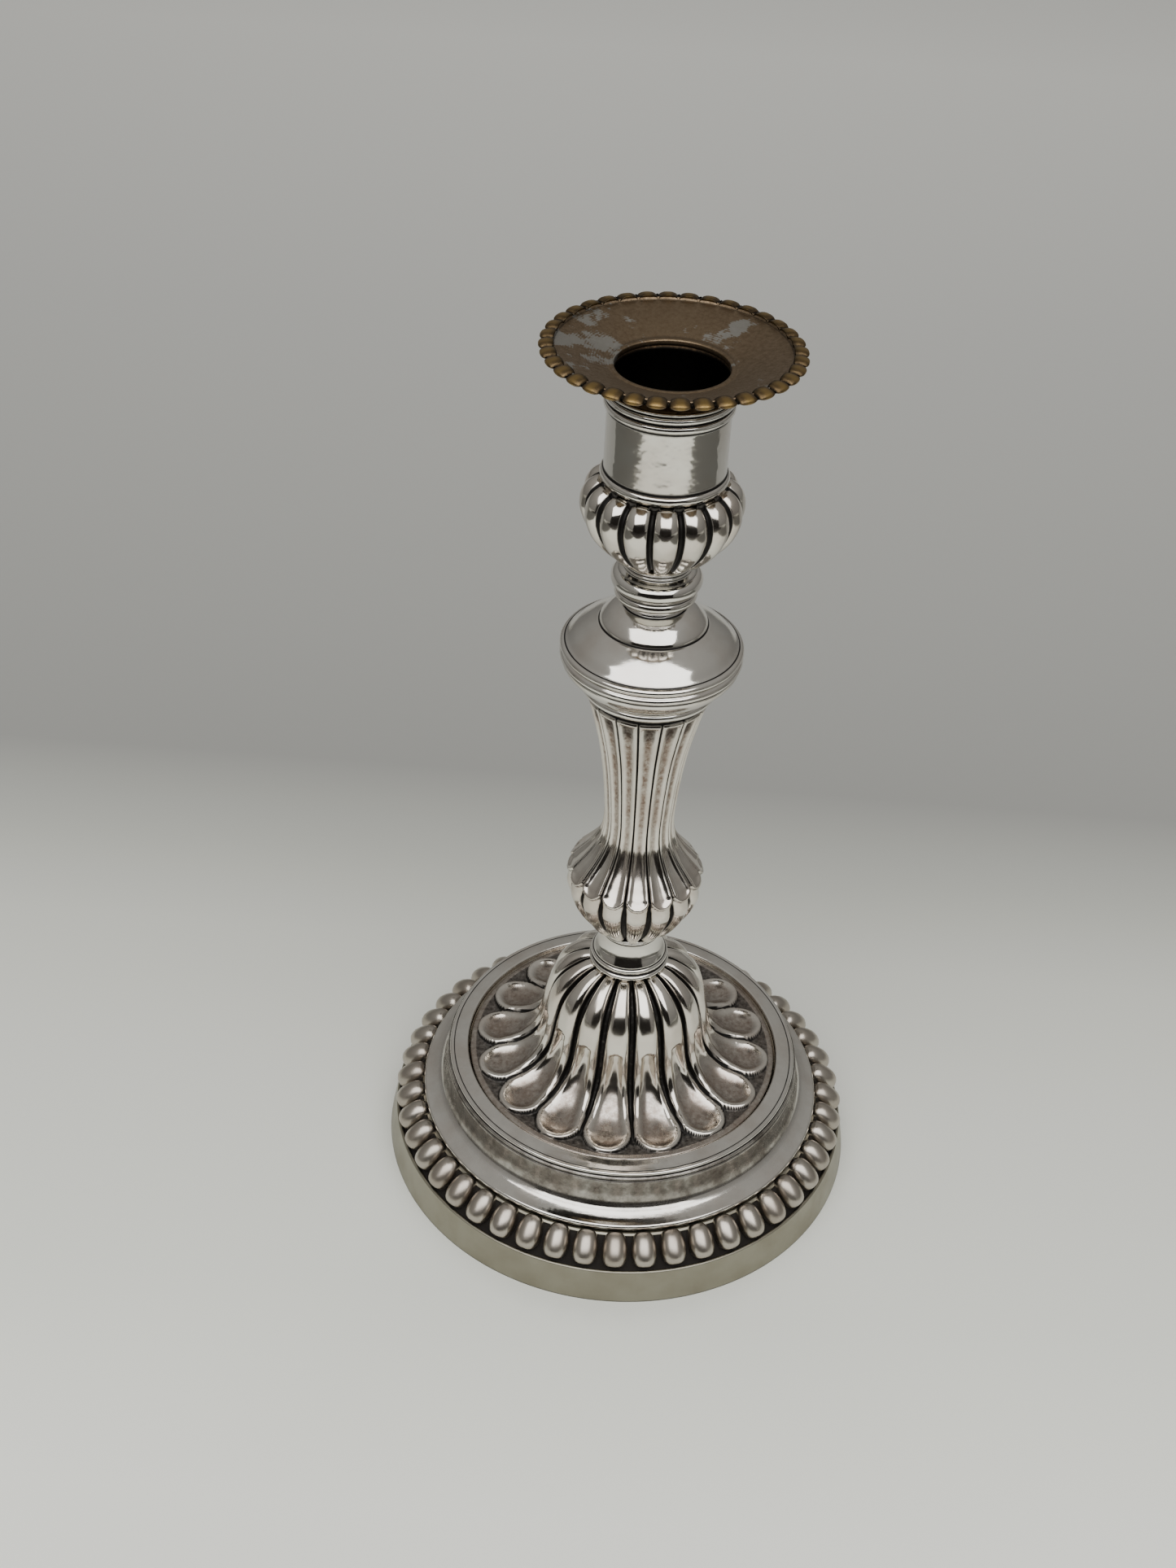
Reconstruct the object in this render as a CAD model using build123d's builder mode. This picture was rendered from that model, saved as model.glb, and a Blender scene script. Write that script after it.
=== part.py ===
from build123d import *
import os

# A neoclassical table candlestick, silver plated on brass, in millimetres.
# The turned, stamped and cast sections stand on each other on the Z axis and are drawn together
# by one threaded rod between a nut in the foot and a nut in the socket. A loose drip pan with
# its candle tube drops into the socket and lifts straight out.
# The origin is the centre of the resting face, and +Z is up.

# ---------------------------------------------------------------- driving dimensions
FOOT_RADIUS = 60.0  # at the table
BAND_HEIGHT = 8.85  # the plain band round the foot
BAND_TAPER = 1.8  # the band leans in by this much
BAND_EDGE = 0.7  # width of the band's top edge
CHANNEL_DROP = 0.7  # the bead channel starts this far under the edge
CHANNEL_RUN = 6.9  # radial width of the channel's sloping bed
CHANNEL_RISE = 6.15
BEAD_COUNT = 48
BEAD_WIDTH = 5.1
BEAD_LENGTH = 7.8
BEAD_TURN = 2.0  # degrees from -Y to the first bead
BEAD_STRIP = 0.6  # thickness of the strip that carries the beads
STRIP_MARGIN = 0.6  # the strip stops this far inside the channel's edges

LIP_OVERHANG = 0.45  # of the moulding's lip over its seat on the band ring
LIP_RISE = 0.9  # from the seat to the lip's underside
LIP_THICKNESS = 1.7
CAVETTO_RUN = 5.9
CAVETTO_RISE = 9.1
STEP_RISE = 1.6  # the two small steps above the cavetto
STEP_RUN = 1.1
FLAT_WIDTH = 4.6  # the nearly flat ring between the steps and the dome
FLAT_RISE = 0.8
SEAT_DEPTH = 1.4  # the dome sits this deep in the moulding
SEAT_WIDTH = 3.0

DOME_HEIGHT = 31.8
DOME_WAIST_RADIUS = 21.0
FLUTE_COUNT = 16
DOME_FLUTE_TURN = 7.6  # degrees from -Y to the first groove of the dome
FLUTE_TURN = -6.8  # degrees from -Y to the first groove of stem and socket
GROOVE_WIDTH = 0.9
GROOVE_DEPTH = 0.8

COLLAR_HEIGHT = 11.2
COLLAR_RADIUS = 9.85
COLLAR_NECK_RADIUS = 7.1
COLLAR_CORE = 0.5  # the core stands this far inside the rounds
COLLAR_ROUNDS = ((0.75, 0.8, 0.75), (1.0, 2.4, 0.6))  # set-in, height and size of each round

STEM_HEIGHT = 69.5
BULB_HEIGHT = 32.0
BULB_RADIUS = 16.6
STEM_FOOT_RADIUS = 7.8
STEM_WAIST_RADIUS = 8.3
STEM_TOP_RADIUS = 14.0
STEM_ROUND = (2.0, 1.3, 0.95)  # height, reach and rise of the round over the stem
STEM_ROUND_CORE = 0.4  # the core behind that round stands this far in

SHOULDER_RADIUS = 20.35
SHOULDER_BASE_HEIGHT = 11.0
SHOULDER_CAP_HEIGHT = 12.3
RIM_CORE = 0.9  # the core behind the shoulder's rims stands this far in
LOWER_RIM = (1.15, 0.85, 0.9)  # drop under the joint, reach and rise
UPPER_RIM = (1.0, 1.05, 0.98)  # height over the joint, reach and rise
RIM_FILLET = 0.3  # height of the small flat under the lower rim
CAP_STEP_RADIUS = 12.0  # edge of the small upper dome
NECK_RADIUS = 6.7

KNOP_HEIGHT = 10.2
KNOP_RADIUS = 9.95
KNOP_CORE = 1.6  # the core behind the knop's rounds stands this far in
KNOP_FLARE = (0.15, 0.25)  # heights where the neck opens to the core, as shares of the knop
KNOP_SHELF = 0.8  # height where the core ends, as a share
KNOP_FILLET = 0.1  # height of the fillet under the cup, as a share
KNOP_ROUNDS = ((1.7, 0.24, 0.8), (2.4, 0.57, 2.4))  # set-in, share of height and size

CUP_HEIGHT = 19.4
CUP_RADIUS = 17.4
CUP_FOOT_RADIUS = 7.5
CUP_FLOOR = 6.0  # solid metal under the nut in the cup

CANDLE_BORE_RADIUS = 11.7  # a 22 mm candle with easy clearance
TUBE_WALL = 0.4
TUBE_DEPTH = 18.2  # of the tube below its seat
TUBE_FLOOR = 0.8
TUBE_CLEARANCE = 0.2  # radial, between the candle tube and the sleeve
SLEEVE_HEIGHT = 20.8
SLEEVE_WALL = 0.5
SLEEVE_BAND = 0.7  # how far the sleeve's rings stand out
SLEEVE_SPIGOT = 3.0
SLEEVE_LEDGE = 2.0  # the bore narrows at this height over the cup
SLEEVE_FLARE = (1.4, 0.4)  # depths where the lip's cone starts and ends
SLEEVE_FOOT_ROUND = (1.1, 1.05)  # height over the cup and rise
SLEEVE_MOUTH_ROUNDS = ((3.7, 0.8), (1.95, 0.85))  # depth under the mouth and rise
SLEEVE_ROUND_ROOT = 0.3  # how deep these rounds start inside the sleeve
TUBE_COLLAR_SET = 0.3  # the tube's collar stands this far inside the sleeve's lip
SEAT_HEIGHT = 3.0  # the collar that carries the pan above the sleeve

PAN_RADIUS = 26.95
PAN_BORDER_WIDTH = 2.65
PAN_RISE = 4.8  # from the seat to the dish's upper edge
PAN_THICKNESS = 0.95
HOLE_LIP = ((0, 0.65), (0.15, 0.95), (0.5, 1.1))  # the rounded edge of the hole: out and up
PAN_UNDERSIDE = 0.15  # rise of the underside at the sleeve's lip
PAN_LOBES = 36
BORDER_HEIGHT = 1.95
LOBE_GAP_WIDTH = 0.7  # the notch between two lobes
LOBE_GAP_DEPTH = 0.5

ROD_RADIUS = 2.5
ROD_CLEARANCE = 0.15
NUT_FLATS = 8.0
NUT_HEIGHT = 4.0
WASHER_RADIUS = 5.5
WASHER_HEIGHT = 1.0
WASHER_ROOM = 1.0  # flat floor left round the washer in the cup
ROD_STICKOUT = 1.2  # past each nut
ROD_CHAMFER = 0.4
SPIGOT_RADIUS = 4.6
SPIGOT_HEIGHT = 1.6
SPIGOT_CLEARANCE = 0.05

RING_ROOT = 0.5  # how deep a half-round ring starts inside its moulding
SHEET = 1.5  # wall of the stamped and spun sections
CLAMP_PLATE = 1.5
CLAMP_LEDGE = 2.0
WEIGHT_HEIGHT = 11.5
WEIGHT_BORE_RADIUS = 8.0
WEIGHT_GAP = 0.3
WEIGHT_ROUNDING = 0.8
PAD_THICKNESS = 0.6
BASE_PLATE = 0.8
BASE_REBATE = 3.0  # thickness of the band at the base plate
BASE_LEDGE = 1.0

# ---------------------------------------------------------------- levels and radii worked out
rod_hole = ROD_RADIUS + ROD_CLEARANCE
spigot_hole = SPIGOT_RADIUS + SPIGOT_CLEARANCE

band_top_radius = FOOT_RADIUS - BAND_TAPER
channel_low_radius = band_top_radius - BAND_EDGE
channel_high_radius = channel_low_radius - CHANNEL_RUN
channel_low_z = BAND_HEIGHT - CHANNEL_DROP
foot_seat_z = channel_low_z + CHANNEL_RISE

lip_radius = channel_high_radius + LIP_OVERHANG
lip_low_z = foot_seat_z + LIP_RISE
lip_top_z = lip_low_z + LIP_THICKNESS
cavetto_top_radius = lip_radius - CAVETTO_RUN
cavetto_top_z = lip_top_z + CAVETTO_RISE
ridge_radius = cavetto_top_radius - STEP_RUN
ridge_z = cavetto_top_z + STEP_RISE
dome_seat_radius = ridge_radius - FLAT_WIDTH
dome_seat_z = ridge_z + FLAT_RISE - SEAT_DEPTH
ledge_radius = dome_seat_radius - SEAT_WIDTH

dome_top_z = dome_seat_z + DOME_HEIGHT
stem_foot_z = dome_top_z + COLLAR_HEIGHT
stem_top_z = stem_foot_z + STEM_HEIGHT
cap_z = stem_top_z + SHOULDER_BASE_HEIGHT
knop_z = cap_z + SHOULDER_CAP_HEIGHT
cup_z = knop_z + KNOP_HEIGHT
cup_top_z = cup_z + CUP_HEIGHT
sleeve_top_z = cup_top_z + SLEEVE_HEIGHT
pan_seat_z = sleeve_top_z + SEAT_HEIGHT

tube_radius = CANDLE_BORE_RADIUS + TUBE_WALL
sleeve_bore_radius = tube_radius + TUBE_CLEARANCE
sleeve_radius = sleeve_bore_radius + SLEEVE_WALL
sleeve_ring_radius = sleeve_radius + SLEEVE_BAND
cup_mouth_radius = sleeve_bore_radius - SLEEVE_WALL
border_inner_radius = PAN_RADIUS - PAN_BORDER_WIDTH
pan_rim_z = pan_seat_z + PAN_RISE

clamp_z = foot_seat_z - CLAMP_PLATE
clamp_low_z = clamp_z - CLAMP_PLATE
foot_washer_z = clamp_low_z - WASHER_HEIGHT
foot_nut_z = foot_washer_z - NUT_HEIGHT
rod_low_z = foot_nut_z - ROD_STICKOUT
socket_washer_z = cup_z + CUP_FLOOR
socket_nut_z = socket_washer_z + WASHER_HEIGHT
rod_top_z = socket_nut_z + NUT_HEIGHT + ROD_STICKOUT


# ---------------------------------------------------------------- helpers
def shares(base_z, height, radius_low, radius_high, *points):
    """Turn (share of radius step, share of height) pairs into (radius, height) points."""
    step = radius_high - radius_low
    return [(radius_low + step * across, base_z + height * up) for across, up in points]


def inset(points, depth):
    """The same curve moved towards the axis."""
    return [(radius - depth, height) for radius, height in points]


def outline(*corners, curve=None):
    """A closed (radius, height) profile: a smooth curve and straight lines back through corners."""
    with BuildSketch(Plane.XZ) as profile:
        with BuildLine():
            if curve:
                Spline(*curve)
                Polyline(curve[-1], *corners, curve[0])
            else:
                Polyline(*corners, close=True)
        make_face()
    return profile.sketch


def ring_profile(radius, height, reach, rise):
    """The profile of a half-round ring: the outer half of an ellipse."""
    with BuildSketch(Plane.XZ) as profile:
        with Locations((radius, height)):
            Ellipse(reach, rise)
            Rectangle(2 * reach, 3 * rise, align=(Align.MAX, Align.CENTER), mode=Mode.SUBTRACT)
    return profile.sketch


def rooted_ring(radius, height, reach, rise):
    """A half-round ring that starts inside its moulding, so that the two join."""
    return ring_profile(radius - RING_ROOT, height, reach + RING_ROOT, rise)


def save(piece, name):
    piece.part.label = name
    export_step(piece.part, f"parts/{name}.step")


os.makedirs("parts", exist_ok=True)

# ---------------------------------------------------------------- foot
# The band ring: a plain leaning band, a narrow edge and the sloping bed of the bead channel.
with BuildPart() as plinth_band:
    revolve(outline(
        (FOOT_RADIUS, 0),
        (band_top_radius, BAND_HEIGHT),
        (channel_low_radius, BAND_HEIGHT),
        (channel_low_radius, channel_low_z),
        (channel_high_radius, foot_seat_z),
        (channel_high_radius - CLAMP_LEDGE, foot_seat_z),
        (channel_high_radius - CLAMP_LEDGE, clamp_z),
        (channel_high_radius, clamp_z),
        (channel_low_radius - BASE_LEDGE, channel_low_z - CLAMP_PLATE),
        (FOOT_RADIUS - BASE_REBATE - BASE_LEDGE, channel_low_z - CLAMP_PLATE - BASE_LEDGE),
        (FOOT_RADIUS - BASE_REBATE - BASE_LEDGE, PAD_THICKNESS + BASE_PLATE),
        (FOOT_RADIUS - BASE_REBATE, PAD_THICKNESS + BASE_PLATE),
        (FOOT_RADIUS - BASE_REBATE, 0),
    ), axis=Axis.Z)
save(plinth_band, "plinth_band")

# One long bead, lying down the slope of the channel, cut flat where it sinks into its strip.
slope = Vector(-CHANNEL_RUN, 0, CHANNEL_RISE).normalized()
outward = Vector(CHANNEL_RISE, 0, CHANNEL_RUN).normalized()
channel_middle = Vector(
    (channel_low_radius + channel_high_radius) / 2, 0, (channel_low_z + foot_seat_z) / 2
)
bead_lift = BEAD_STRIP + BEAD_WIDTH / 5
bead_centre = channel_middle + outward * bead_lift
with BuildPart() as bead:
    with BuildSketch(Plane(origin=bead_centre, x_dir=slope, z_dir=(0, -1, 0))):
        Ellipse(BEAD_LENGTH / 2, BEAD_WIDTH / 2)
        Rectangle(BEAD_LENGTH, BEAD_WIDTH, align=(Align.CENTER, Align.MAX), mode=Mode.SUBTRACT)
    revolve(axis=Axis(bead_centre, slope * -1))
    split(bisect_by=Plane(origin=channel_middle + outward * BEAD_STRIP / 2, z_dir=outward))

# The bead strip is bent to a ring and soldered to the bed of the channel.
strip_low = Vector(channel_low_radius, 0, channel_low_z) + slope * STRIP_MARGIN
strip_high = Vector(channel_high_radius, 0, foot_seat_z) - slope * STRIP_MARGIN
strip_lift = outward * BEAD_STRIP
strip_corners = (strip_low, strip_low + strip_lift, strip_high + strip_lift, strip_high)
with BuildPart() as bead_border:
    revolve(outline(*[(corner.X, corner.Z) for corner in strip_corners]), axis=Axis.Z)
    with PolarLocations(0, BEAD_COUNT, start_angle=BEAD_TURN - 90):
        add(bead.part)
save(bead_border, "bead_border")

# The spun foot moulding: lip, cavetto, two small steps and the flat ring round the dome's seat.
cavetto = shares(
    lip_top_z, CAVETTO_RISE, lip_radius, cavetto_top_radius,
    (0.2, 0.05), (0.58, 0.2), (0.82, 0.45), (0.96, 0.8), (1, 1)
)
with BuildPart() as foot_moulding:
    revolve(outline(
        (cavetto_top_radius - STEP_RUN / 2, cavetto_top_z + STEP_RISE / 3),
        (ridge_radius + STEP_RUN / 2, ridge_z - STEP_RISE / 3),
        (ridge_radius, ridge_z),
        (dome_seat_radius, ridge_z + FLAT_RISE),
        (dome_seat_radius, dome_seat_z),
        (ledge_radius, dome_seat_z),
        (ledge_radius, dome_seat_z - SHEET),
        (ridge_radius - SHEET, dome_seat_z - SHEET),
        (ridge_radius - SHEET, lip_top_z + CAVETTO_RISE / 2),
        (channel_high_radius - CLAMP_LEDGE, lip_top_z),
        (channel_high_radius - CLAMP_LEDGE, foot_seat_z),
        (channel_high_radius, foot_seat_z),
        (channel_high_radius, lip_low_z),
        (lip_radius, lip_low_z),
        (lip_radius, lip_top_z - LIP_OVERHANG),
        (lip_radius - LIP_OVERHANG, lip_top_z),
        curve=cavetto,
    ), axis=Axis.Z)
save(foot_moulding, "foot_moulding")

# The stamped dome: sixteen flutes that run down a bell and spread out flat to the seat.
dome_rise = DOME_HEIGHT - SEAT_DEPTH
dome_foot_z = dome_seat_z + SEAT_DEPTH
dome_edge_radius = dome_seat_radius - SPIGOT_CLEARANCE
dome_flare = shares(
    dome_foot_z, dome_rise, DOME_WAIST_RADIUS, dome_edge_radius,
    (1, 0), (0.7, 0.015), (0.4, 0.06), (0.2, 0.13), (0.07, 0.27), (0, 0.45),
)
dome_bell = shares(
    dome_foot_z, dome_rise, COLLAR_RADIUS, DOME_WAIST_RADIUS,
    (0.95, 0.58), (0.85, 0.7), (0.7, 0.81), (0.47, 0.9), (0.2, 0.965), (0, 1),
)
dome_crest = dome_flare + dome_bell
dome_groove_floor = inset(dome_crest[1:-1], GROOVE_DEPTH)
dome_inside = inset(dome_crest[2:-1], 2 * SHEET)
dome_reach = dome_seat_radius + SHEET
with BuildPart() as dome_groove:
    with BuildSketch(Plane.XZ):
        with BuildLine():
            Spline(*dome_groove_floor)
            Polyline(
                dome_groove_floor[-1],
                (COLLAR_RADIUS, dome_top_z + SHEET),
                (dome_reach, dome_top_z + SHEET),
                (dome_reach, dome_groove_floor[0][1]),
                dome_groove_floor[0],
            )
        make_face()
    extrude(amount=GROOVE_WIDTH / 2, both=True)

with BuildPart() as fluted_dome:
    revolve(outline(
        (0, dome_top_z),
        (0, dome_seat_z),
        (dome_edge_radius, dome_seat_z),
        curve=dome_crest,
    ), axis=Axis.Z)
    with BuildSketch(Plane.XZ):
        with BuildLine():
            Spline(*dome_inside)
            Polyline(
                dome_inside[-1],
                (0, dome_inside[-1][1]),
                (0, dome_seat_z),
                (dome_inside[0][0], dome_seat_z),
                dome_inside[0],
            )
        make_face()
    revolve(axis=Axis.Z, mode=Mode.SUBTRACT)
    with BuildSketch(Plane.XY.offset(dome_top_z)):
        Circle(spigot_hole)
    extrude(amount=-DOME_HEIGHT, mode=Mode.SUBTRACT)
    with PolarLocations(0, FLUTE_COUNT, start_angle=DOME_FLUTE_TURN - 90):
        add(dome_groove.part, mode=Mode.SUBTRACT)
save(fluted_dome, "fluted_dome")

# Under the foot: a steel clamp plate for the rod, an iron weight, a closing plate and a baize pad.
with BuildPart() as clamp_plate:
    with BuildSketch(Plane.XY.offset(clamp_low_z)):
        Circle(channel_high_radius - SPIGOT_CLEARANCE)
        Circle(rod_hole, mode=Mode.SUBTRACT)
    extrude(amount=CLAMP_PLATE)
save(clamp_plate, "clamp_plate")

with BuildPart() as foot_weight:
    with BuildSketch(Plane.XY.offset(clamp_z)):
        Circle(ledge_radius - WEIGHT_GAP)
        Circle(WEIGHT_BORE_RADIUS, mode=Mode.SUBTRACT)
    extrude(amount=WEIGHT_HEIGHT)
    fillet(foot_weight.edges().filter_by(GeomType.CIRCLE).group_by(Axis.Z)[-1], WEIGHT_ROUNDING)
save(foot_weight, "foot_weight")

with BuildPart() as base_plate:
    with BuildSketch(Plane.XY.offset(PAD_THICKNESS)):
        Circle(FOOT_RADIUS - BASE_REBATE - SPIGOT_CLEARANCE)
    extrude(amount=BASE_PLATE)
save(base_plate, "base_plate")

with BuildPart() as baize_pad:
    with BuildSketch(Plane.XY):
        Circle(FOOT_RADIUS - BASE_REBATE - WEIGHT_GAP)
    extrude(amount=PAD_THICKNESS)
save(baize_pad, "baize_pad")

# ---------------------------------------------------------------- collar, stem and shoulder
# The collar stands on the dome: a double torus, an ogee and a fillet under the stem.
collar_ogee = shares(
    dome_top_z, COLLAR_HEIGHT, COLLAR_NECK_RADIUS, COLLAR_RADIUS,
    (0.72, 0.22), (0.68, 0.31), (0.47, 0.41), (0.3, 0.5),
    (0.08, 0.66), (0, 0.8), (0.06, 0.92), (0.2, 1),
)
with BuildPart() as dome_collar:
    revolve(outline(
        (rod_hole, stem_foot_z),
        (rod_hole, dome_top_z - SPIGOT_HEIGHT),
        (SPIGOT_RADIUS, dome_top_z - SPIGOT_HEIGHT),
        (SPIGOT_RADIUS, dome_top_z),
        (COLLAR_RADIUS - COLLAR_CORE, dome_top_z),
        (COLLAR_RADIUS - COLLAR_CORE, collar_ogee[0][1]),
        curve=collar_ogee,
    ), axis=Axis.Z)
    for set_in, height, size in COLLAR_ROUNDS:
        revolve(ring_profile(COLLAR_RADIUS - set_in, dome_top_z + height, size, size), axis=Axis.Z)
save(dome_collar, "dome_collar")

# The stem: a lobed bulb that narrows to a waist and a trumpet that opens to the shoulder.
bulb_low = shares(
    stem_foot_z, BULB_HEIGHT, STEM_FOOT_RADIUS, BULB_RADIUS,
    (0, 0), (0.2, 0.04), (0.43, 0.11), (0.62, 0.19), (0.81, 0.28), (0.93, 0.375), (1, 0.47),
)
bulb_high = shares(
    stem_foot_z, BULB_HEIGHT, STEM_WAIST_RADIUS, BULB_RADIUS,
    (0.92, 0.565), (0.66, 0.66), (0.36, 0.75), (0.15, 0.845), (0.03, 0.94),
)
trumpet = shares(
    stem_foot_z + BULB_HEIGHT, STEM_HEIGHT - BULB_HEIGHT, STEM_WAIST_RADIUS, STEM_TOP_RADIUS,
    (0, 0.06), (0.07, 0.27), (0.24, 0.48), (0.56, 0.75), (0.78, 0.88), (1, 1),
)
stem_crest = bulb_low + bulb_high + trumpet
stem_groove_floor = inset(stem_crest[1:-1], GROOVE_DEPTH)
stem_reach = BULB_RADIUS + SHEET
with BuildPart() as stem_groove:
    with BuildSketch(Plane.XZ):
        with BuildLine():
            Spline(*stem_groove_floor)
            Polyline(
                stem_groove_floor[-1],
                (stem_groove_floor[-1][0], stem_top_z + SHEET),
                (stem_reach, stem_top_z + SHEET),
                (stem_reach, stem_groove_floor[0][1]),
                stem_groove_floor[0],
            )
        make_face()
    extrude(amount=GROOVE_WIDTH / 2, both=True)

with BuildPart() as fluted_stem:
    revolve(outline(
        (spigot_hole, stem_top_z),
        (spigot_hole, stem_top_z - SPIGOT_HEIGHT),
        (rod_hole, stem_top_z - SPIGOT_HEIGHT),
        (rod_hole, stem_foot_z),
        curve=stem_crest,
    ), axis=Axis.Z)
    with PolarLocations(0, FLUTE_COUNT, start_angle=FLUTE_TURN - 90):
        add(stem_groove.part, mode=Mode.SUBTRACT)
save(fluted_stem, "fluted_stem")

# The shoulder's lower half: a small ring over the stem and mouldings that step out to the rim.
shoulder_sweep = shares(
    stem_top_z, SHOULDER_BASE_HEIGHT, STEM_TOP_RADIUS, SHOULDER_RADIUS,
    (0.12, 0.27), (0.3, 0.33), (0.56, 0.45), (0.83, 0.62), (0.95, 0.75),
)
rim_core_radius = SHOULDER_RADIUS - RIM_CORE
with BuildPart() as shoulder_base:
    revolve(outline(
        (rim_core_radius, shoulder_sweep[-1][1] + RIM_FILLET),
        (rim_core_radius, cap_z),
        (rod_hole, cap_z),
        (rod_hole, stem_top_z - SPIGOT_HEIGHT),
        (SPIGOT_RADIUS, stem_top_z - SPIGOT_HEIGHT),
        (SPIGOT_RADIUS, stem_top_z),
        (STEM_TOP_RADIUS - STEM_ROUND_CORE, stem_top_z),
        (STEM_TOP_RADIUS - STEM_ROUND_CORE, shoulder_sweep[0][1]),
        curve=shoulder_sweep,
    ), axis=Axis.Z)
    height, reach, rise = STEM_ROUND
    revolve(rooted_ring(STEM_TOP_RADIUS, stem_top_z + height, reach, rise), axis=Axis.Z)
    drop, reach, rise = LOWER_RIM
    revolve(rooted_ring(rim_core_radius, cap_z - drop, reach, rise), axis=Axis.Z)
save(shoulder_base, "shoulder_base")

# The shoulder's cap: rim, low dome, and a small upper dome that runs into the neck.
cap_low_dome = shares(
    cap_z, SHOULDER_CAP_HEIGHT, CAP_STEP_RADIUS, SHOULDER_RADIUS,
    (0.87, 0.12), (0.81, 0.18), (0.6, 0.32), (0.3, 0.465), (0, 0.565),
)
cap_high_dome = shares(
    cap_z, SHOULDER_CAP_HEIGHT, NECK_RADIUS, CAP_STEP_RADIUS,
    (0.98, 0.6), (0.88, 0.67), (0.58, 0.8), (0.23, 0.9), (0.02, 0.95), (0, 1),
)
with BuildPart() as shoulder_cap:
    revolve(outline(
        (rod_hole, cap_low_dome[-1][1]),
        (rod_hole, cap_z),
        (cap_low_dome[0][0], cap_z),
        curve=cap_low_dome,
    ), axis=Axis.Z)
    revolve(outline(
        (spigot_hole, knop_z),
        (spigot_hole, knop_z - SPIGOT_HEIGHT),
        (rod_hole, knop_z - SPIGOT_HEIGHT),
        (rod_hole, cap_low_dome[-1][1]),
        (cap_high_dome[0][0], cap_low_dome[-1][1]),
        curve=cap_high_dome,
    ), axis=Axis.Z)
    height, reach, rise = UPPER_RIM
    revolve(rooted_ring(cap_low_dome[0][0], cap_z + height, reach, rise), axis=Axis.Z)
save(shoulder_cap, "shoulder_cap")

# The neck knop: a small ring, a groove and a full torus on one spool.
with BuildPart() as neck_knop:
    revolve(outline(
        (rod_hole, knop_z - SPIGOT_HEIGHT),
        (SPIGOT_RADIUS, knop_z - SPIGOT_HEIGHT),
        (SPIGOT_RADIUS, knop_z),
        (NECK_RADIUS, knop_z),
        (NECK_RADIUS, knop_z + KNOP_HEIGHT * KNOP_FLARE[0]),
        (KNOP_RADIUS - KNOP_CORE, knop_z + KNOP_HEIGHT * KNOP_FLARE[1]),
        (KNOP_RADIUS - KNOP_CORE, knop_z + KNOP_HEIGHT * KNOP_SHELF),
        (CUP_FOOT_RADIUS, cup_z - KNOP_HEIGHT * KNOP_FILLET),
        (CUP_FOOT_RADIUS, cup_z),
        (spigot_hole, cup_z),
        (spigot_hole, cup_z - SPIGOT_HEIGHT),
        (rod_hole, cup_z - SPIGOT_HEIGHT),
    ), axis=Axis.Z)
    for set_in, height, size in KNOP_ROUNDS:
        revolve(ring_profile(KNOP_RADIUS - set_in, knop_z + KNOP_HEIGHT * height, size, size), axis=Axis.Z)
save(neck_knop, "neck_knop")

# ---------------------------------------------------------------- socket
# The socket cup: a gadrooned bowl with a solid floor that takes the rod's upper nut.
cup_low = shares(
    cup_z, CUP_HEIGHT, CUP_FOOT_RADIUS, CUP_RADIUS,
    (0, 0), (0.2, 0.06), (0.36, 0.125), (0.54, 0.21), (0.71, 0.315),
    (0.84, 0.415), (0.935, 0.52), (0.985, 0.62), (1, 0.72),
)
cup_high = shares(
    cup_z, CUP_HEIGHT, sleeve_radius, CUP_RADIUS,
    (0.93, 0.82), (0.7, 0.92), (0.35, 0.98), (0.05, 1),
)
cup_crest = cup_low + cup_high
cup_groove_floor = inset(cup_crest[1:-1], GROOVE_DEPTH)
cup_reach = CUP_RADIUS + SHEET
with BuildPart() as cup_groove:
    with BuildSketch(Plane.XZ):
        with BuildLine():
            Spline(*cup_groove_floor)
            Polyline(
                cup_groove_floor[-1],
                (cup_reach, cup_groove_floor[-1][1]),
                (cup_reach, cup_groove_floor[0][1]),
                cup_groove_floor[0],
            )
        make_face()
    extrude(amount=GROOVE_WIDTH / 2, both=True)

with BuildPart() as socket_cup:
    revolve(outline(
        (cup_mouth_radius + SPIGOT_CLEARANCE, cup_top_z),
        (cup_mouth_radius + SPIGOT_CLEARANCE, cup_z + CUP_HEIGHT / 2),
        (WASHER_RADIUS + WASHER_ROOM, socket_washer_z),
        (rod_hole, socket_washer_z),
        (rod_hole, cup_z - SPIGOT_HEIGHT),
        (SPIGOT_RADIUS, cup_z - SPIGOT_HEIGHT),
        (SPIGOT_RADIUS, cup_z),
        curve=cup_crest,
    ), axis=Axis.Z)
    with PolarLocations(0, FLUTE_COUNT, start_angle=FLUTE_TURN - 90):
        add(cup_groove.part, mode=Mode.SUBTRACT)
save(socket_cup, "socket_cup")

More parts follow.
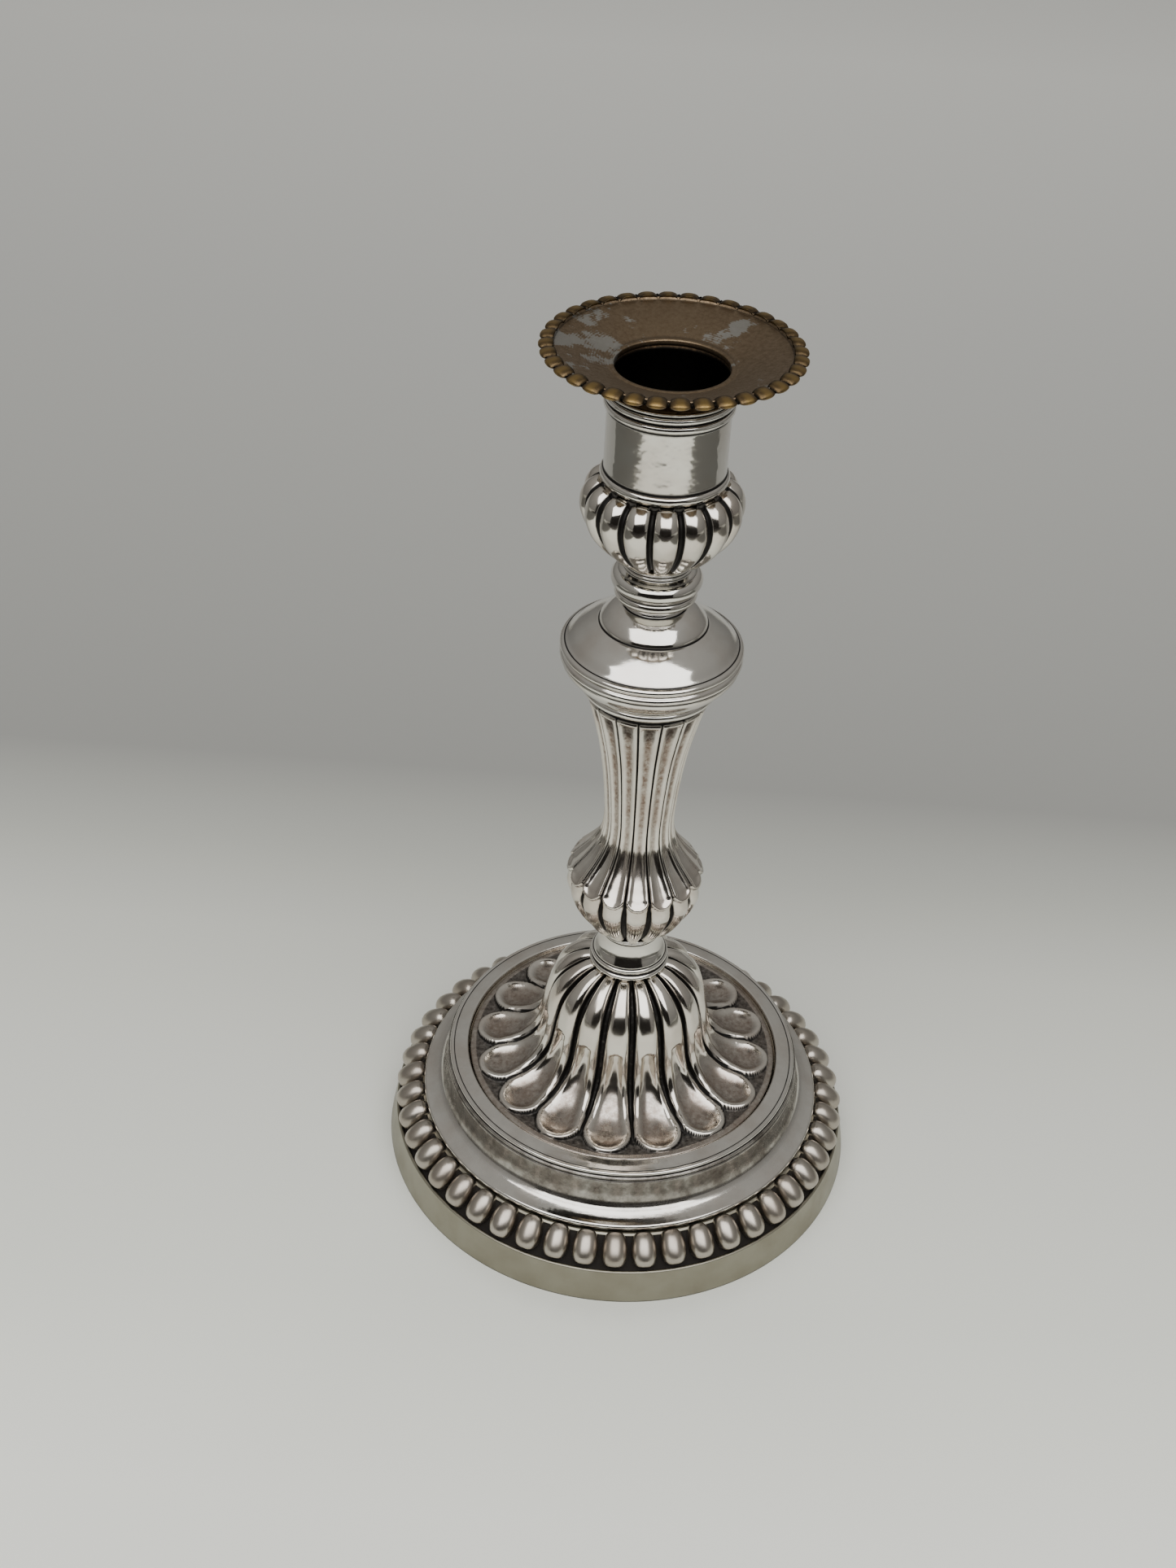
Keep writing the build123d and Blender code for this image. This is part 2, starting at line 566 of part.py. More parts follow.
# The sleeve: a thin polished tube with a bead at its foot, two rings and a lip at its mouth.
with BuildPart() as socket_sleeve:
    revolve(outline(
        (cup_mouth_radius, cup_top_z - SLEEVE_SPIGOT),
        (cup_mouth_radius, cup_top_z),
        (sleeve_radius, cup_top_z),
        (sleeve_radius, sleeve_top_z - SLEEVE_FLARE[0]),
        (sleeve_ring_radius, sleeve_top_z - SLEEVE_FLARE[1]),
        (sleeve_ring_radius, sleeve_top_z),
        (sleeve_bore_radius, sleeve_top_z),
        (sleeve_bore_radius, cup_top_z + SLEEVE_LEDGE),
        (cup_mouth_radius - 2 * SLEEVE_WALL, cup_top_z + SLEEVE_LEDGE),
        (cup_mouth_radius - 2 * SLEEVE_WALL, cup_top_z - SLEEVE_SPIGOT),
    ), axis=Axis.Z)
    round_radius = sleeve_radius - SLEEVE_ROUND_ROOT
    round_reach = SLEEVE_BAND + SLEEVE_ROUND_ROOT
    height, rise = SLEEVE_FOOT_ROUND
    revolve(ring_profile(round_radius, cup_top_z + height, round_reach, rise), axis=Axis.Z)
    for depth, rise in SLEEVE_MOUTH_ROUNDS:
        revolve(ring_profile(round_radius, sleeve_top_z - depth, round_reach, rise), axis=Axis.Z)
save(socket_sleeve, "socket_sleeve")

# ---------------------------------------------------------------- drip pan
# The candle tube: closed below, with the collar that rests on the sleeve's mouth.
tube_collar_radius = sleeve_ring_radius - TUBE_COLLAR_SET
with BuildPart() as candle_tube:
    revolve(outline(
        (0, sleeve_top_z - TUBE_DEPTH),
        (tube_radius, sleeve_top_z - TUBE_DEPTH),
        (tube_radius, sleeve_top_z),
        (tube_collar_radius, sleeve_top_z),
        (tube_collar_radius, pan_seat_z),
        (CANDLE_BORE_RADIUS, pan_seat_z),
        (CANDLE_BORE_RADIUS, sleeve_top_z - TUBE_DEPTH + TUBE_FLOOR),
        (0, sleeve_top_z - TUBE_DEPTH + TUBE_FLOOR),
    ), axis=Axis.Z)
save(candle_tube, "candle_tube")

# The pan: a shallow dish that slopes down to the candle's hole.
with BuildPart() as drip_pan:
    revolve(outline(
        (CANDLE_BORE_RADIUS, pan_seat_z),
        *[(CANDLE_BORE_RADIUS + out, pan_seat_z + up) for out, up in HOLE_LIP],
        (border_inner_radius, pan_rim_z),
        (border_inner_radius, pan_rim_z - PAN_THICKNESS),
        (sleeve_ring_radius, pan_seat_z + PAN_UNDERSIDE),
        (tube_collar_radius, pan_seat_z),
    ), axis=Axis.Z)
save(drip_pan, "drip_pan")

# The border: a lobed wire soldered round the dish.
border_middle_radius = border_inner_radius + PAN_BORDER_WIDTH / 2
lobe_reach = PAN_BORDER_WIDTH / 2
lobe_rise = BORDER_HEIGHT / 2
with BuildPart() as lobe_gap:
    with BuildSketch(Plane.XZ):
        with Locations((border_middle_radius + LOBE_GAP_DEPTH, pan_rim_z)):
            Ellipse(lobe_reach, lobe_rise + LOBE_GAP_DEPTH)
            Ellipse(lobe_reach - LOBE_GAP_DEPTH, lobe_rise - LOBE_GAP_DEPTH / 2, mode=Mode.SUBTRACT)
    extrude(amount=LOBE_GAP_WIDTH / 2, both=True)

with BuildPart() as pan_border:
    revolve(ring_profile(border_inner_radius, pan_rim_z, PAN_BORDER_WIDTH, lobe_rise), axis=Axis.Z)
    with PolarLocations(0, PAN_LOBES, start_angle=-90):
        add(lobe_gap.part, mode=Mode.SUBTRACT)
save(pan_border, "pan_border")

# ---------------------------------------------------------------- tie rod, nuts and washers
with BuildPart() as tie_rod:
    with BuildSketch(Plane.XY.offset(rod_low_z)):
        Circle(ROD_RADIUS)
    extrude(amount=rod_top_z - rod_low_z)
    chamfer(tie_rod.edges().filter_by(GeomType.CIRCLE), ROD_CHAMFER)
save(tie_rod, "tie_rod")

for name, low_z in (("foot_nut", foot_nut_z), ("socket_nut", socket_nut_z)):
    with BuildPart() as nut:
        with BuildSketch(Plane.XY.offset(low_z)):
            RegularPolygon(NUT_FLATS / 2, 6, major_radius=False)
            Circle(ROD_RADIUS, mode=Mode.SUBTRACT)
        extrude(amount=NUT_HEIGHT)
    save(nut, name)

for name, low_z in (("foot_washer", foot_washer_z), ("socket_washer", socket_washer_z)):
    with BuildPart() as washer:
        with BuildSketch(Plane.XY.offset(low_z)):
            Circle(WASHER_RADIUS)
            Circle(rod_hole, mode=Mode.SUBTRACT)
        extrude(amount=WASHER_HEIGHT)
    save(washer, name)
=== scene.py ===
# %% [markdown]
# # A silver-plated candlestick, turned, chased and put together
# The stick is a stack of turned, stamped and cast sections round one upright axis. Some are plain
# turnings; others carry the same flute, gadroon, bead or lobe repeated 16, 36 or 48 times. So almost
# every piece here is made the same way: one narrow wedge of it is built as a mesh, and one Geometry
# Nodes tree repeats that wedge round the axis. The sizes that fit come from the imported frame.

# %% Load the frame
import math

import bpy
import numpy as np
from mathutils import Matrix, Vector


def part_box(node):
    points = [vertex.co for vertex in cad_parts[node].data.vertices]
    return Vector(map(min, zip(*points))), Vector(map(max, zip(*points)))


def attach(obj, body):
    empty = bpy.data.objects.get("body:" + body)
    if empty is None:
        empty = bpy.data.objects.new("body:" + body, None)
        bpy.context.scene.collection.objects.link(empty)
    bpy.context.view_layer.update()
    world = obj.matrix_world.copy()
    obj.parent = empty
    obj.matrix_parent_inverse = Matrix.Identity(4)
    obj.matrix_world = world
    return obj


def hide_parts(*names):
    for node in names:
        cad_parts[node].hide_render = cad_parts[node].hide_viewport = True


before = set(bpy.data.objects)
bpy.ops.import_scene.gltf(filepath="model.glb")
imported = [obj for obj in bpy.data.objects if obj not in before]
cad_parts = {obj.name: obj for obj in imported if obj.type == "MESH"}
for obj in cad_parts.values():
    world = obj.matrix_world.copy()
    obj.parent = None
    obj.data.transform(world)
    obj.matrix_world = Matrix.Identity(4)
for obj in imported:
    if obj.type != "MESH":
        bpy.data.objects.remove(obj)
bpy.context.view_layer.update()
MM = 0.001


# %% [markdown]
# ## Levels
# Each section stands on the one below it. Their seats are the tops and bottoms of the CAD nodes, so a
# profile is written as (radius, height above its own seat), and follows the frame.

# %% Levels read from the frame, in millimetres
def low_z(node):
    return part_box(node)[0].z / MM


def high_z(node):
    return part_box(node)[1].z / MM


dome_top = high_z("fluted_dome")
stem_foot = low_z("fluted_stem")
stem_top = high_z("fluted_stem")
rim_seat = high_z("shoulder_base")
knop_seat = high_z("shoulder_cap")
cup_seat = high_z("neck_knop")
cup_top = high_z("socket_cup")
sleeve_top = high_z("socket_sleeve")
pan_seat = high_z("candle_tube")
foot_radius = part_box("plinth_band")[1].x / MM
pan_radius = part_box("pan_border")[1].x / MM
ROD_HOLE = 2.65  # radius of the hole for the tie rod through every section
SPIGOT = 4.6  # radius of the spigot that seats one section in the next
SPIGOT_DEPTH = 1.6
PLAIN_WEDGES = 16  # wedges in a plain turning
print("seats:", [round(v, 2) for v in (dome_top, stem_foot, stem_top, knop_seat, cup_seat, pan_seat)])


# %% [markdown]
# ## Profiles
# A turner's profile is a run of hollows, rounds and fillets. A smooth run is a curve through a few
# points (a Catmull-Rom curve, which passes through each point), and a half-round ring is an arc.

# %% Curves and rings in the profile plane
def curve(points, step=0.25):
    """A smooth run through (radius, height) points; step is the spacing in mm, one or one a span."""
    knots = [np.array(p, float) for p in points]
    knots = [2 * knots[0] - knots[1], *knots, 2 * knots[-1] - knots[-2]]
    steps = np.broadcast_to(step, len(points) - 1)
    run = []
    for before, start, end, after, spacing in zip(knots, knots[1:], knots[2:], knots[3:], steps):
        pieces = max(2, round(np.linalg.norm(end - start) / spacing))
        for t in np.arange(pieces) / pieces:
            run.append(0.5 * (
                2 * start + (end - before) * t
                + (2 * before - 5 * start + 4 * end - after) * t**2
                + (3 * start - before - 3 * end + after) * t**3
            ))
    return np.array([*run, knots[-2]])


def ring(radius, height, reach, rise, start=-90, stop=90, pieces=14):
    """A round: an arc of an ellipse, from start to stop degrees (0 points outwards, 90 up)."""
    turn = np.radians(np.linspace(start, stop, pieces + 1))
    return np.stack([radius + reach * np.cos(turn), height + rise * np.sin(turn)], axis=1)


def lift(height, *runs):
    """Joins runs into one profile, raised to its seat."""
    return np.vstack([np.atleast_2d(np.array(run, float)) for run in runs]) + [0, height]


# %% [markdown]
# ## The wedge
# A wedge is one repeat of a section: a strip of the turned surface, pushed in along its own normal by
# a relief function, and closed behind by the section's inner wall. Two numbers go with every vertex:
# `recess`, how deep it lies where polish never reaches and tarnish turns black, and `worn`, how far the
# silver is rubbed and stained brown. In a few places they also carry painted shade, a painted reflection
# or a painted highlight, each named where it is set. The finishes read both. The recess of a turned
# groove comes from the profile itself: a point that lies inside the average of its neighbours is in a
# hollow.

# %% Building a wedge
def smooth(value):
    """0 below 0, 1 above 1, and an even ramp between."""
    value = np.clip(value, 0, 1)
    return value * value * (3 - 2 * value)


def along(points):
    """Distance along a profile, in millimetres."""
    return np.concatenate([[0], np.cumsum(np.linalg.norm(np.diff(points, axis=0), axis=1))])


def outward(points):
    """Unit normals of a profile that runs upwards."""
    slope = np.gradient(points, axis=0)
    normal = np.stack([slope[:, 1], -slope[:, 0]], axis=1)
    return normal / np.linalg.norm(normal, axis=1)[:, None]


GROOVE_STEP = 0.05  # spacing of the points that the groove rule compares
GROOVE_SPAN = 0.6  # how far round a point it looks
GROOVE_FULL = 0.045  # a hollow this deep is fully black


def groove_recess(points):
    """How much each point of a profile lies in a groove, from 0 to 1."""
    place = along(points)
    even = np.arange(0, place[-1], GROOVE_STEP)
    fine = np.stack([np.interp(even, place, points[:, axis]) for axis in (0, 1)], axis=1)
    reach = int(GROOVE_SPAN / GROOVE_STEP)
    padded = np.vstack([fine[:1].repeat(reach, 0), fine, fine[-1:].repeat(reach, 0)])
    kernel = np.ones(2 * reach + 1) / (2 * reach + 1)
    mean = np.stack([np.convolve(padded[:, axis], kernel, "valid") for axis in (0, 1)], axis=1)
    depth = np.einsum("ij,ij->i", mean - fine, outward(fine))
    depth[:reach] = depth[-reach:] = 0
    return smooth(np.interp(place, even, depth) / GROOVE_FULL)


def wedge(name, outer, inner, count=PLAIN_WEDGES, columns=16, relief=None, worn=0.0, recess=None):
    """One repeat of a section about -Y: its outer profile, its inner corners and its relief."""
    shown = len(outer)
    loop = np.vstack([outer, inner])
    reach = np.zeros((len(loop), columns + 1))
    black = np.zeros_like(reach)
    brown = np.zeros_like(reach)
    brown[:shown] = np.broadcast_to(worn, shown)[:, None]
    black[:shown] = (groove_recess(outer) if recess is None else recess)[:, None]
    half = math.pi / count
    turns = np.linspace(-half, half, columns + 1)
    if relief:
        across = outer[:, :1] * turns
        depth, hollow, rubbed = relief(across, along(outer)[:, None], outer[:, :1], outer[:, 1:], half)
        reach[:shown] = depth
        black[:shown] = np.maximum(black[:shown], hollow)
        brown[:shown] = np.maximum(brown[:shown], rubbed)
    normal = np.zeros_like(loop)
    normal[:shown] = outward(outer)
    radius = loop[:, :1] - normal[:, :1] * reach
    height = loop[:, 1:] - normal[:, 1:] * reach
    place = np.stack([radius * np.sin(turns), -radius * np.cos(turns), height], axis=2) * MM
    rows = len(loop)
    corner = np.arange(rows * (columns + 1)).reshape(rows, columns + 1)
    upper = np.roll(corner, -1, axis=0)
    faces = np.stack([corner[:, :-1], corner[:, 1:], upper[:, 1:], upper[:, :-1]], axis=2).reshape(-1, 4)
    mesh = bpy.data.meshes.new(name)
    mesh.from_pydata(place.reshape(-1, 3).tolist(), [], faces.tolist())
    for label, values in (("recess", black), ("worn", brown)):
        layer = mesh.attributes.new(label, "FLOAT", "POINT")
        layer.data.foreach_set("value", values.astype(np.float32).ravel())
    return mesh


# %% [markdown]
# ## The repeat
# One tree serves every section. It puts Count copies of the wedge on points at the origin, turns each
# by its share of the circle, makes them real, welds the seams and sets the finish.

# %% The Geometry Nodes tree that repeats a wedge
def add_node(tree, kind, links=None, **settings):
    """Adds one node with its settings; links maps an input's name or index to a socket or a value."""
    node = tree.nodes.new(kind)
    for label, value in settings.items():
        setattr(node, label, value)
    for label, value in (links or {}).items():
        if isinstance(value, bpy.types.NodeSocket):
            tree.links.new(value, node.inputs[label])
        else:
            node.inputs[label].default_value = value
    return node


SEAM_WELD = 2e-6  # metres

repeat = bpy.data.node_groups.new("repeat_round_axis", "GeometryNodeTree")
socket_kinds = {"Geometry": "Geometry", "Count": "Int", "Turn": "Float", "Finish": "Material"}
repeat_socket = {
    label: repeat.interface.new_socket(label, in_out="INPUT", socket_type=f"NodeSocket{kind}")
    for label, kind in socket_kinds.items()
}
repeat.interface.new_socket("Geometry", in_out="OUTPUT", socket_type="NodeSocketGeometry")
given = add_node(repeat, "NodeGroupInput").outputs
places = add_node(repeat, "GeometryNodePoints", {"Count": given["Count"]})
index = add_node(repeat, "GeometryNodeInputIndex")
share = add_node(repeat, "ShaderNodeMath", {0: math.tau, 1: given["Count"]}, operation="DIVIDE")
angle = add_node(
    repeat, "ShaderNodeMath", {0: index.outputs[0], 1: share.outputs[0], 2: given["Turn"]},
    operation="MULTIPLY_ADD",
)
spin = add_node(repeat, "ShaderNodeCombineXYZ", {"Z": angle.outputs[0]})
copies = add_node(
    repeat, "GeometryNodeInstanceOnPoints",
    {"Points": places.outputs[0], "Instance": given["Geometry"], "Rotation": spin.outputs[0]},
)
real = add_node(repeat, "GeometryNodeRealizeInstances", {"Geometry": copies.outputs[0]})
welded = add_node(
    repeat, "GeometryNodeMergeByDistance", {"Geometry": real.outputs[0], "Distance": SEAM_WELD}
)
soft = add_node(repeat, "GeometryNodeSetShadeSmooth", {"Geometry": welded.outputs[0]})
finished = add_node(
    repeat, "GeometryNodeSetMaterial", {"Geometry": soft.outputs[0], "Material": given["Finish"]}
)
add_node(repeat, "NodeGroupOutput", {"Geometry": finished.outputs[0]})


def turn_round(name, mesh, count, finish, body, nodes, turn=0.0):
    """Repeats a wedge round the axis, keeps the result as a plain mesh and puts it on its body."""
    piece = bpy.data.objects.new(name, mesh)
    bpy.context.scene.collection.objects.link(piece)
    modifier = piece.modifiers.new("repeat", "NODES")
    modifier.node_group = repeat
    for label, value in (("Count", count), ("Turn", math.radians(turn)), ("Finish", finish)):
        modifier[repeat_socket[label].identifier] = value
    graph = bpy.context.evaluated_depsgraph_get()
    baked = bpy.data.meshes.new_from_object(piece.evaluated_get(graph), depsgraph=graph)
    piece.modifiers.clear()
    piece.data = baked
    bpy.data.meshes.remove(mesh)
    baked.name = name
    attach(piece, body)
    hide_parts(*nodes)
    print(f"{name}: {count} repeats, {len(baked.polygons) * 2} triangles")
    return piece


# %% [markdown]
# ## Finishes
# Old silver plate is a thin skin of soft, bright metal. Rubbing keeps the high places bright with a
# web of fine scratches, hollows go brown where the plate is thin, and the bottoms of the grooves keep
# black tarnish. A few small functions make the nodes that every finish shares; then one function makes
# such a plated metal, with its colours and roughness as arguments.

# %% Functions that every finish shares
def linear(code):
    """An sRGB hex colour as linear RGBA."""
    parts = [int(code[i:i + 2], 16) / 255 for i in (1, 3, 5)]
    return (*[c / 12.92 if c <= 0.04045 else ((c + 0.055) / 1.055) ** 2.4 for c in parts], 1.0)


MIX_A, MIX_B, MIX_RESULT = 6, 7, 2  # the colour sockets of a Mix node


def start_finish(name):
    """A new material, its emptied node tree and the coordinates that its textures use."""
    material = bpy.data.materials.new(name)
    material.use_nodes = True
    tree = material.node_tree
    tree.nodes.clear()
    return material, tree, add_node(tree, "ShaderNodeTexCoord").outputs["Object"]


def noise(tree, where, size_mm, detail, roughness=0.5):
    """Noise whose features are about size_mm across."""
    links = {"Vector": where, "Scale": 1 / (size_mm * MM), "Detail": detail, "Roughness": roughness}
    return add_node(tree, "ShaderNodeTexNoise", links).outputs["Fac"]


def span(tree, value, low=0.0, high=1.0, to_low=0.0, to_high=1.0):
    """Stretches low..high of a value to to_low..to_high, clamped."""
    links = {"Value": value, "From Min": low, "From Max": high, "To Min": to_low, "To Max": to_high}
    return add_node(tree, "ShaderNodeMapRange", links).outputs[0]


def times_plus(tree, value, factor, plus=0.0):
    """value * factor + plus."""
    links = {0: value, 1: factor, 2: plus}
    return add_node(tree, "ShaderNodeMath", links, operation="MULTIPLY_ADD").outputs[0]


def bump(tree, height, depth_mm, normal=None):
    """A bump of depth_mm, on top of an earlier normal if there is one."""
    links = {"Height": height, "Strength": 1.0, "Distance": depth_mm * MM}
    if normal is not None:
        links["Normal"] = normal
    return add_node(tree, "ShaderNodeBump", links).outputs[0]


def overlay(tree, base, *layers):
    """A base colour with each (share, tone) laid over it in turn."""
    colour = linear(base)
    for cover, tone in layers:
        mix = add_node(
            tree, "ShaderNodeMix", {0: cover, MIX_A: colour, MIX_B: linear(tone)}, data_type="RGBA"
        )
        colour = mix.outputs[MIX_RESULT]
    return colour


def vertex_value(tree, label):
    """A number that the wedge stored with every vertex."""
    return add_node(tree, "ShaderNodeAttribute", attribute_name=label).outputs["Fac"]


def end_finish(tree, links):
    """Ends the tree in one Principled surface."""
    shader = add_node(tree, "ShaderNodeBsdfPrincipled", links)
    add_node(tree, "ShaderNodeOutputMaterial", {"Surface": shader.outputs[0]})


# %% Plated metal
def plated(name, bright, warm, brown, black, polish, stain_mm=2.2, wave=0.02):
    """Plated metal: bright where rubbed, warm in patches, brown where worn and black in recesses."""
    material, tree, where = start_finish(name)
    cloud = noise(tree, where, 9, 4.0)
    stain = noise(tree, where, stain_mm, 6.0, 0.7)
    warm_share = span(tree, cloud, 0.42, 0.68, to_high=0.55)
    brown_edge = times_plus(tree, vertex_value(tree, "worn"), stain)
    brown_share = span(tree, brown_edge, 0.1, 0.75, to_high=0.9)
    black_edge = times_plus(tree, stain, 0.35, vertex_value(tree, "recess"))
    black_share = span(tree, black_edge, 0.45, 0.95)
    smudge = span(tree, cloud, 0.3, 0.75, polish, polish + 0.1)
    dulled = times_plus(tree, brown_share, 0.22, smudge)
    waves = bump(tree, noise(tree, where, 3.5, 2.0), wave)
    stretch = add_node(
        tree, "ShaderNodeMapping",
        {"Vector": where, "Rotation": (0.4, 0.3, 0.9), "Scale": (1.0, 14.0, 3.0)},
    )
    scratch = noise(tree, stretch.outputs[0], 3, 3.0)
    layers = (warm_share, warm), (brown_share, brown), (black_share, black)
    end_finish(tree, {
        "Base Color": overlay(tree, bright, *layers),
        "Metallic": span(tree, black_share, to_low=1.0, to_high=0.6),
        "Roughness": times_plus(tree, black_share, 0.4, dulled),
        "Normal": bump(tree, scratch, 0.0035, waves),
    })
    return material


# Silver plate, hand polished: nearly white metal with a faint warm cast and small ripples.
silver = plated(
    "polished_silver_plate", "#dcd9d2", "#c8beb4", "#4f4740", "#120e0b",
    polish=0.07, stain_mm=5.0, wave=0.035,
)
# The sleeve was bent up from sheet and hammered, so what it mirrors has wavy edges.
hammered_silver = plated(
    "hammered_silver_plate", "#dcd9d2", "#c8beb4", "#574e46", "#120e0b", polish=0.07, wave=0.13
)
# The same plate under the fluting, where years of polish have missed the hollows; its black also carries
# the painted shade set by the dome and stem reliefs.
fluted_silver = plated(
    "chased_silver_plate", "#dad5cc", "#bdafa3", "#5f4534", "#14110e", polish=0.1, stain_mm=1.2
)
# The beads stand highest and are rubbed most, so they have lost the finest polish.
bead_silver = plated("rubbed_silver_beads", "#b3aca2", "#988c80", "#6f5a48", "#14110e", polish=0.27)
# The plain band round the foot: rubbed to a satin that shows no clear reflections.
satin = plated("satin_silver_plate", "#989486", "#878172", "#8a7a66", "#2a2622", polish=0.34, wave=0.04)
print("finishes:", silver.name, fluted_silver.name, satin.name)

# %% [markdown]
# ## The foot's band and bead channel
# The band leans in a little and ends in a narrow edge. Behind the edge a sloping channel carries the
# beads; it is all recess, so it is black from end to end.

# %% Plain band and channel
band_low = low_z("baize_pad")
channel_top = high_z("plinth_band")
BAND_TOP = 8.85  # height of the band's edge
CHANNEL_TOP_RADIUS = 51.5
band = lift(
    0,
    curve([(foot_radius, band_low), (foot_radius - 0.75, 4.2), (foot_radius - 1.6, 8.3)], 0.5),
    ring(foot_radius - 2.1, BAND_TOP - 0.45, 0.5, 0.45, 0, 170, 8),
    [(foot_radius - 2.7, BAND_TOP - 0.9)],
    curve([(foot_radius - 3.1, BAND_TOP - 0.6), (CHANNEL_TOP_RADIUS, channel_top - 0.2)], 0.5),
)
band_inner = [
    (CHANNEL_TOP_RADIUS, channel_top), (49.5, channel_top), (49.5, 12.8), (CHANNEL_TOP_RADIUS, 12.8),
    (56, 6.6), (57, 5), (57, band_low),
]
band_black = np.where(band[:, 0] < foot_radius - 2.55, 1.0, 0.0)
band_black[0] = 0.6  # painted contact shade where the band meets the table
turn_round(
    "plinth_band_turning", wedge("band", band, band_inner, recess=band_black),
    PLAIN_WEDGES, satin, "stand", ["plinth_band"],
)

# %% [markdown]
# ## The bead border
# Forty-eight long beads lie down the slope, side by side. Each is a half-sunk spindle with rounded
# ends. A bead is one wedge of the ring, so the tree repeats it like everything else.

# %% One bead and its ring
BEADS = 48
BEAD_TURN = 2.0  # degrees to the first bead
BEAD_HALF_WIDTH = 3.15
BEAD_HALF_LENGTH = 4.2
BEAD_MIDDLE = (54.25, 12.45)  # radius and height of a bead's centre
BEAD_SLOPE = math.atan2(6.15, 6.9)  # rise and run of the channel
BEAD_SIDES = 20
BEAD_RINGS = 14


def bead_mesh():
    """A spindle along the slope, with closed poles, whose foot is dark."""
    points, black, faces = [], [], []
    for step in range(1, BEAD_RINGS):
        turn = math.pi * step / BEAD_RINGS
        girth = math.sin(turn) ** 0.55 * (1 + 0.07 * math.cos(turn))
        for side in range(BEAD_SIDES):
            round_it = math.tau * side / BEAD_SIDES
            points.append((
                math.cos(round_it) * BEAD_HALF_WIDTH * girth,
                -math.cos(turn) * BEAD_HALF_LENGTH,
                math.sin(round_it) * BEAD_HALF_WIDTH * girth,
            ))
            black.append(float(smooth((-0.05 - math.sin(round_it) * girth) / 0.3)))
    points += [(0, -BEAD_HALF_LENGTH, 0), (0, BEAD_HALF_LENGTH, 0)]
    black += [1.0, 1.0]
    last = len(points)
    for step in range(BEAD_RINGS - 2):
        for side in range(BEAD_SIDES):
            after = (side + 1) % BEAD_SIDES
            low, high = step * BEAD_SIDES, (step + 1) * BEAD_SIDES
            faces.append((low + side, high + side, high + after, low + after))
    for side in range(BEAD_SIDES):
        after = (side + 1) % BEAD_SIDES
        top = (BEAD_RINGS - 2) * BEAD_SIDES
        faces.append((last - 2, side, after))
        faces.append((last - 1, top + after, top + side))
    tilt = Matrix.Rotation(BEAD_SLOPE, 4, "X")
    centre = Matrix.Translation((0, -BEAD_MIDDLE[0], BEAD_MIDDLE[1]))
    mesh = bpy.data.meshes.new("bead")
    mesh.from_pydata([tuple((centre @ tilt @ Vector(p)) * MM) for p in points], [], faces)
    layer = mesh.attributes.new("recess", "FLOAT", "POINT")
    layer.data.foreach_set("value", black)
    mesh.attributes.new("worn", "FLOAT", "POINT")
    return mesh


turn_round(
    "bead_row", bead_mesh(), BEADS, bead_silver, "stand", ["bead_border"], BEAD_TURN
)

# %% [markdown]
# ## The spun foot moulding
# A thick lip hangs over the beads; above it a wide hollow (a cavetto) rises to two small steps and the
# nearly flat ring round the dome. The spinner's tool leaves crisp fillets, so each is drawn.

# %% Lip, cavetto, steps and flat ring
foot = lift(
    0,
    [(49.6, 14.35), (50.2, 15.0)],
    ring(50.35, 16.15, 0.75, 0.85, -80, 80),
    curve([(49.9, 17.1), (48.7, 17.5), (47.1, 18.3), (46.0, 19.6), (45.45, 21.3), (45.25, 23.4),
           (45.15, 25.9)]),
    [(45.05, 26.15), (44.75, 26.3)],
    ring(44.65, 26.75, 0.32, 0.36, -70, 80, 8),
    [(44.35, 27.2)],
    ring(43.85, 27.7, 0.55, 0.5, -30, 110, 10),
    curve([(43.3, 28.12), (42, 28.35), (40.6, 28.5)]),
    ring(40.2, 28.05, 0.5, 0.5, 80, 170, 6),
    [(39.62, 27.6), (39.55, 27.1)],
)
foot_inner = [(36.6, 27.05), (36.6, 25.55), (42.5, 25.55), (42.6, 20), (49.4, 16.6), (49.4, 14.35)]
# The cavetto is browned more than the rest: partly tarnish, partly a painted dark reflection of the
# shadowed floor in front.
in_cavetto = (foot[:, 1] > 19) & (foot[:, 1] < 27.4) & (foot[:, 0] > 43.5)
foot_wear_and_shade = np.where(in_cavetto, 1.15, 0.25)
turn_round(
    "foot_moulding_spinning", wedge("foot", foot, foot_inner, worn=foot_wear_and_shade),
    PLAIN_WEDGES, silver, "stand", ["foot_moulding"],
)

# %% [markdown]
# ## The fluted dome
# The dome is a bell that spreads out flat. Sixteen lobes run down it, round like tubes at the top; half
# way down a spoon-shaped hollow opens in each, and its raised edge runs round a broad tip. A relief
# function says how far below the crest each point lies, from its distance to the lobe's outline.

# %% Relief of the dome
FLUTES = 16
DOME_TURN = -3.65  # degrees to the middle of the first lobe
TIP_RADIUS = 5.75
TIP_CENTRE = 31.9  # radius from the axis
ARCH_HEIGHT = 42.0  # where the hollow's round top springs
ARCH_RADIUS = 2.2


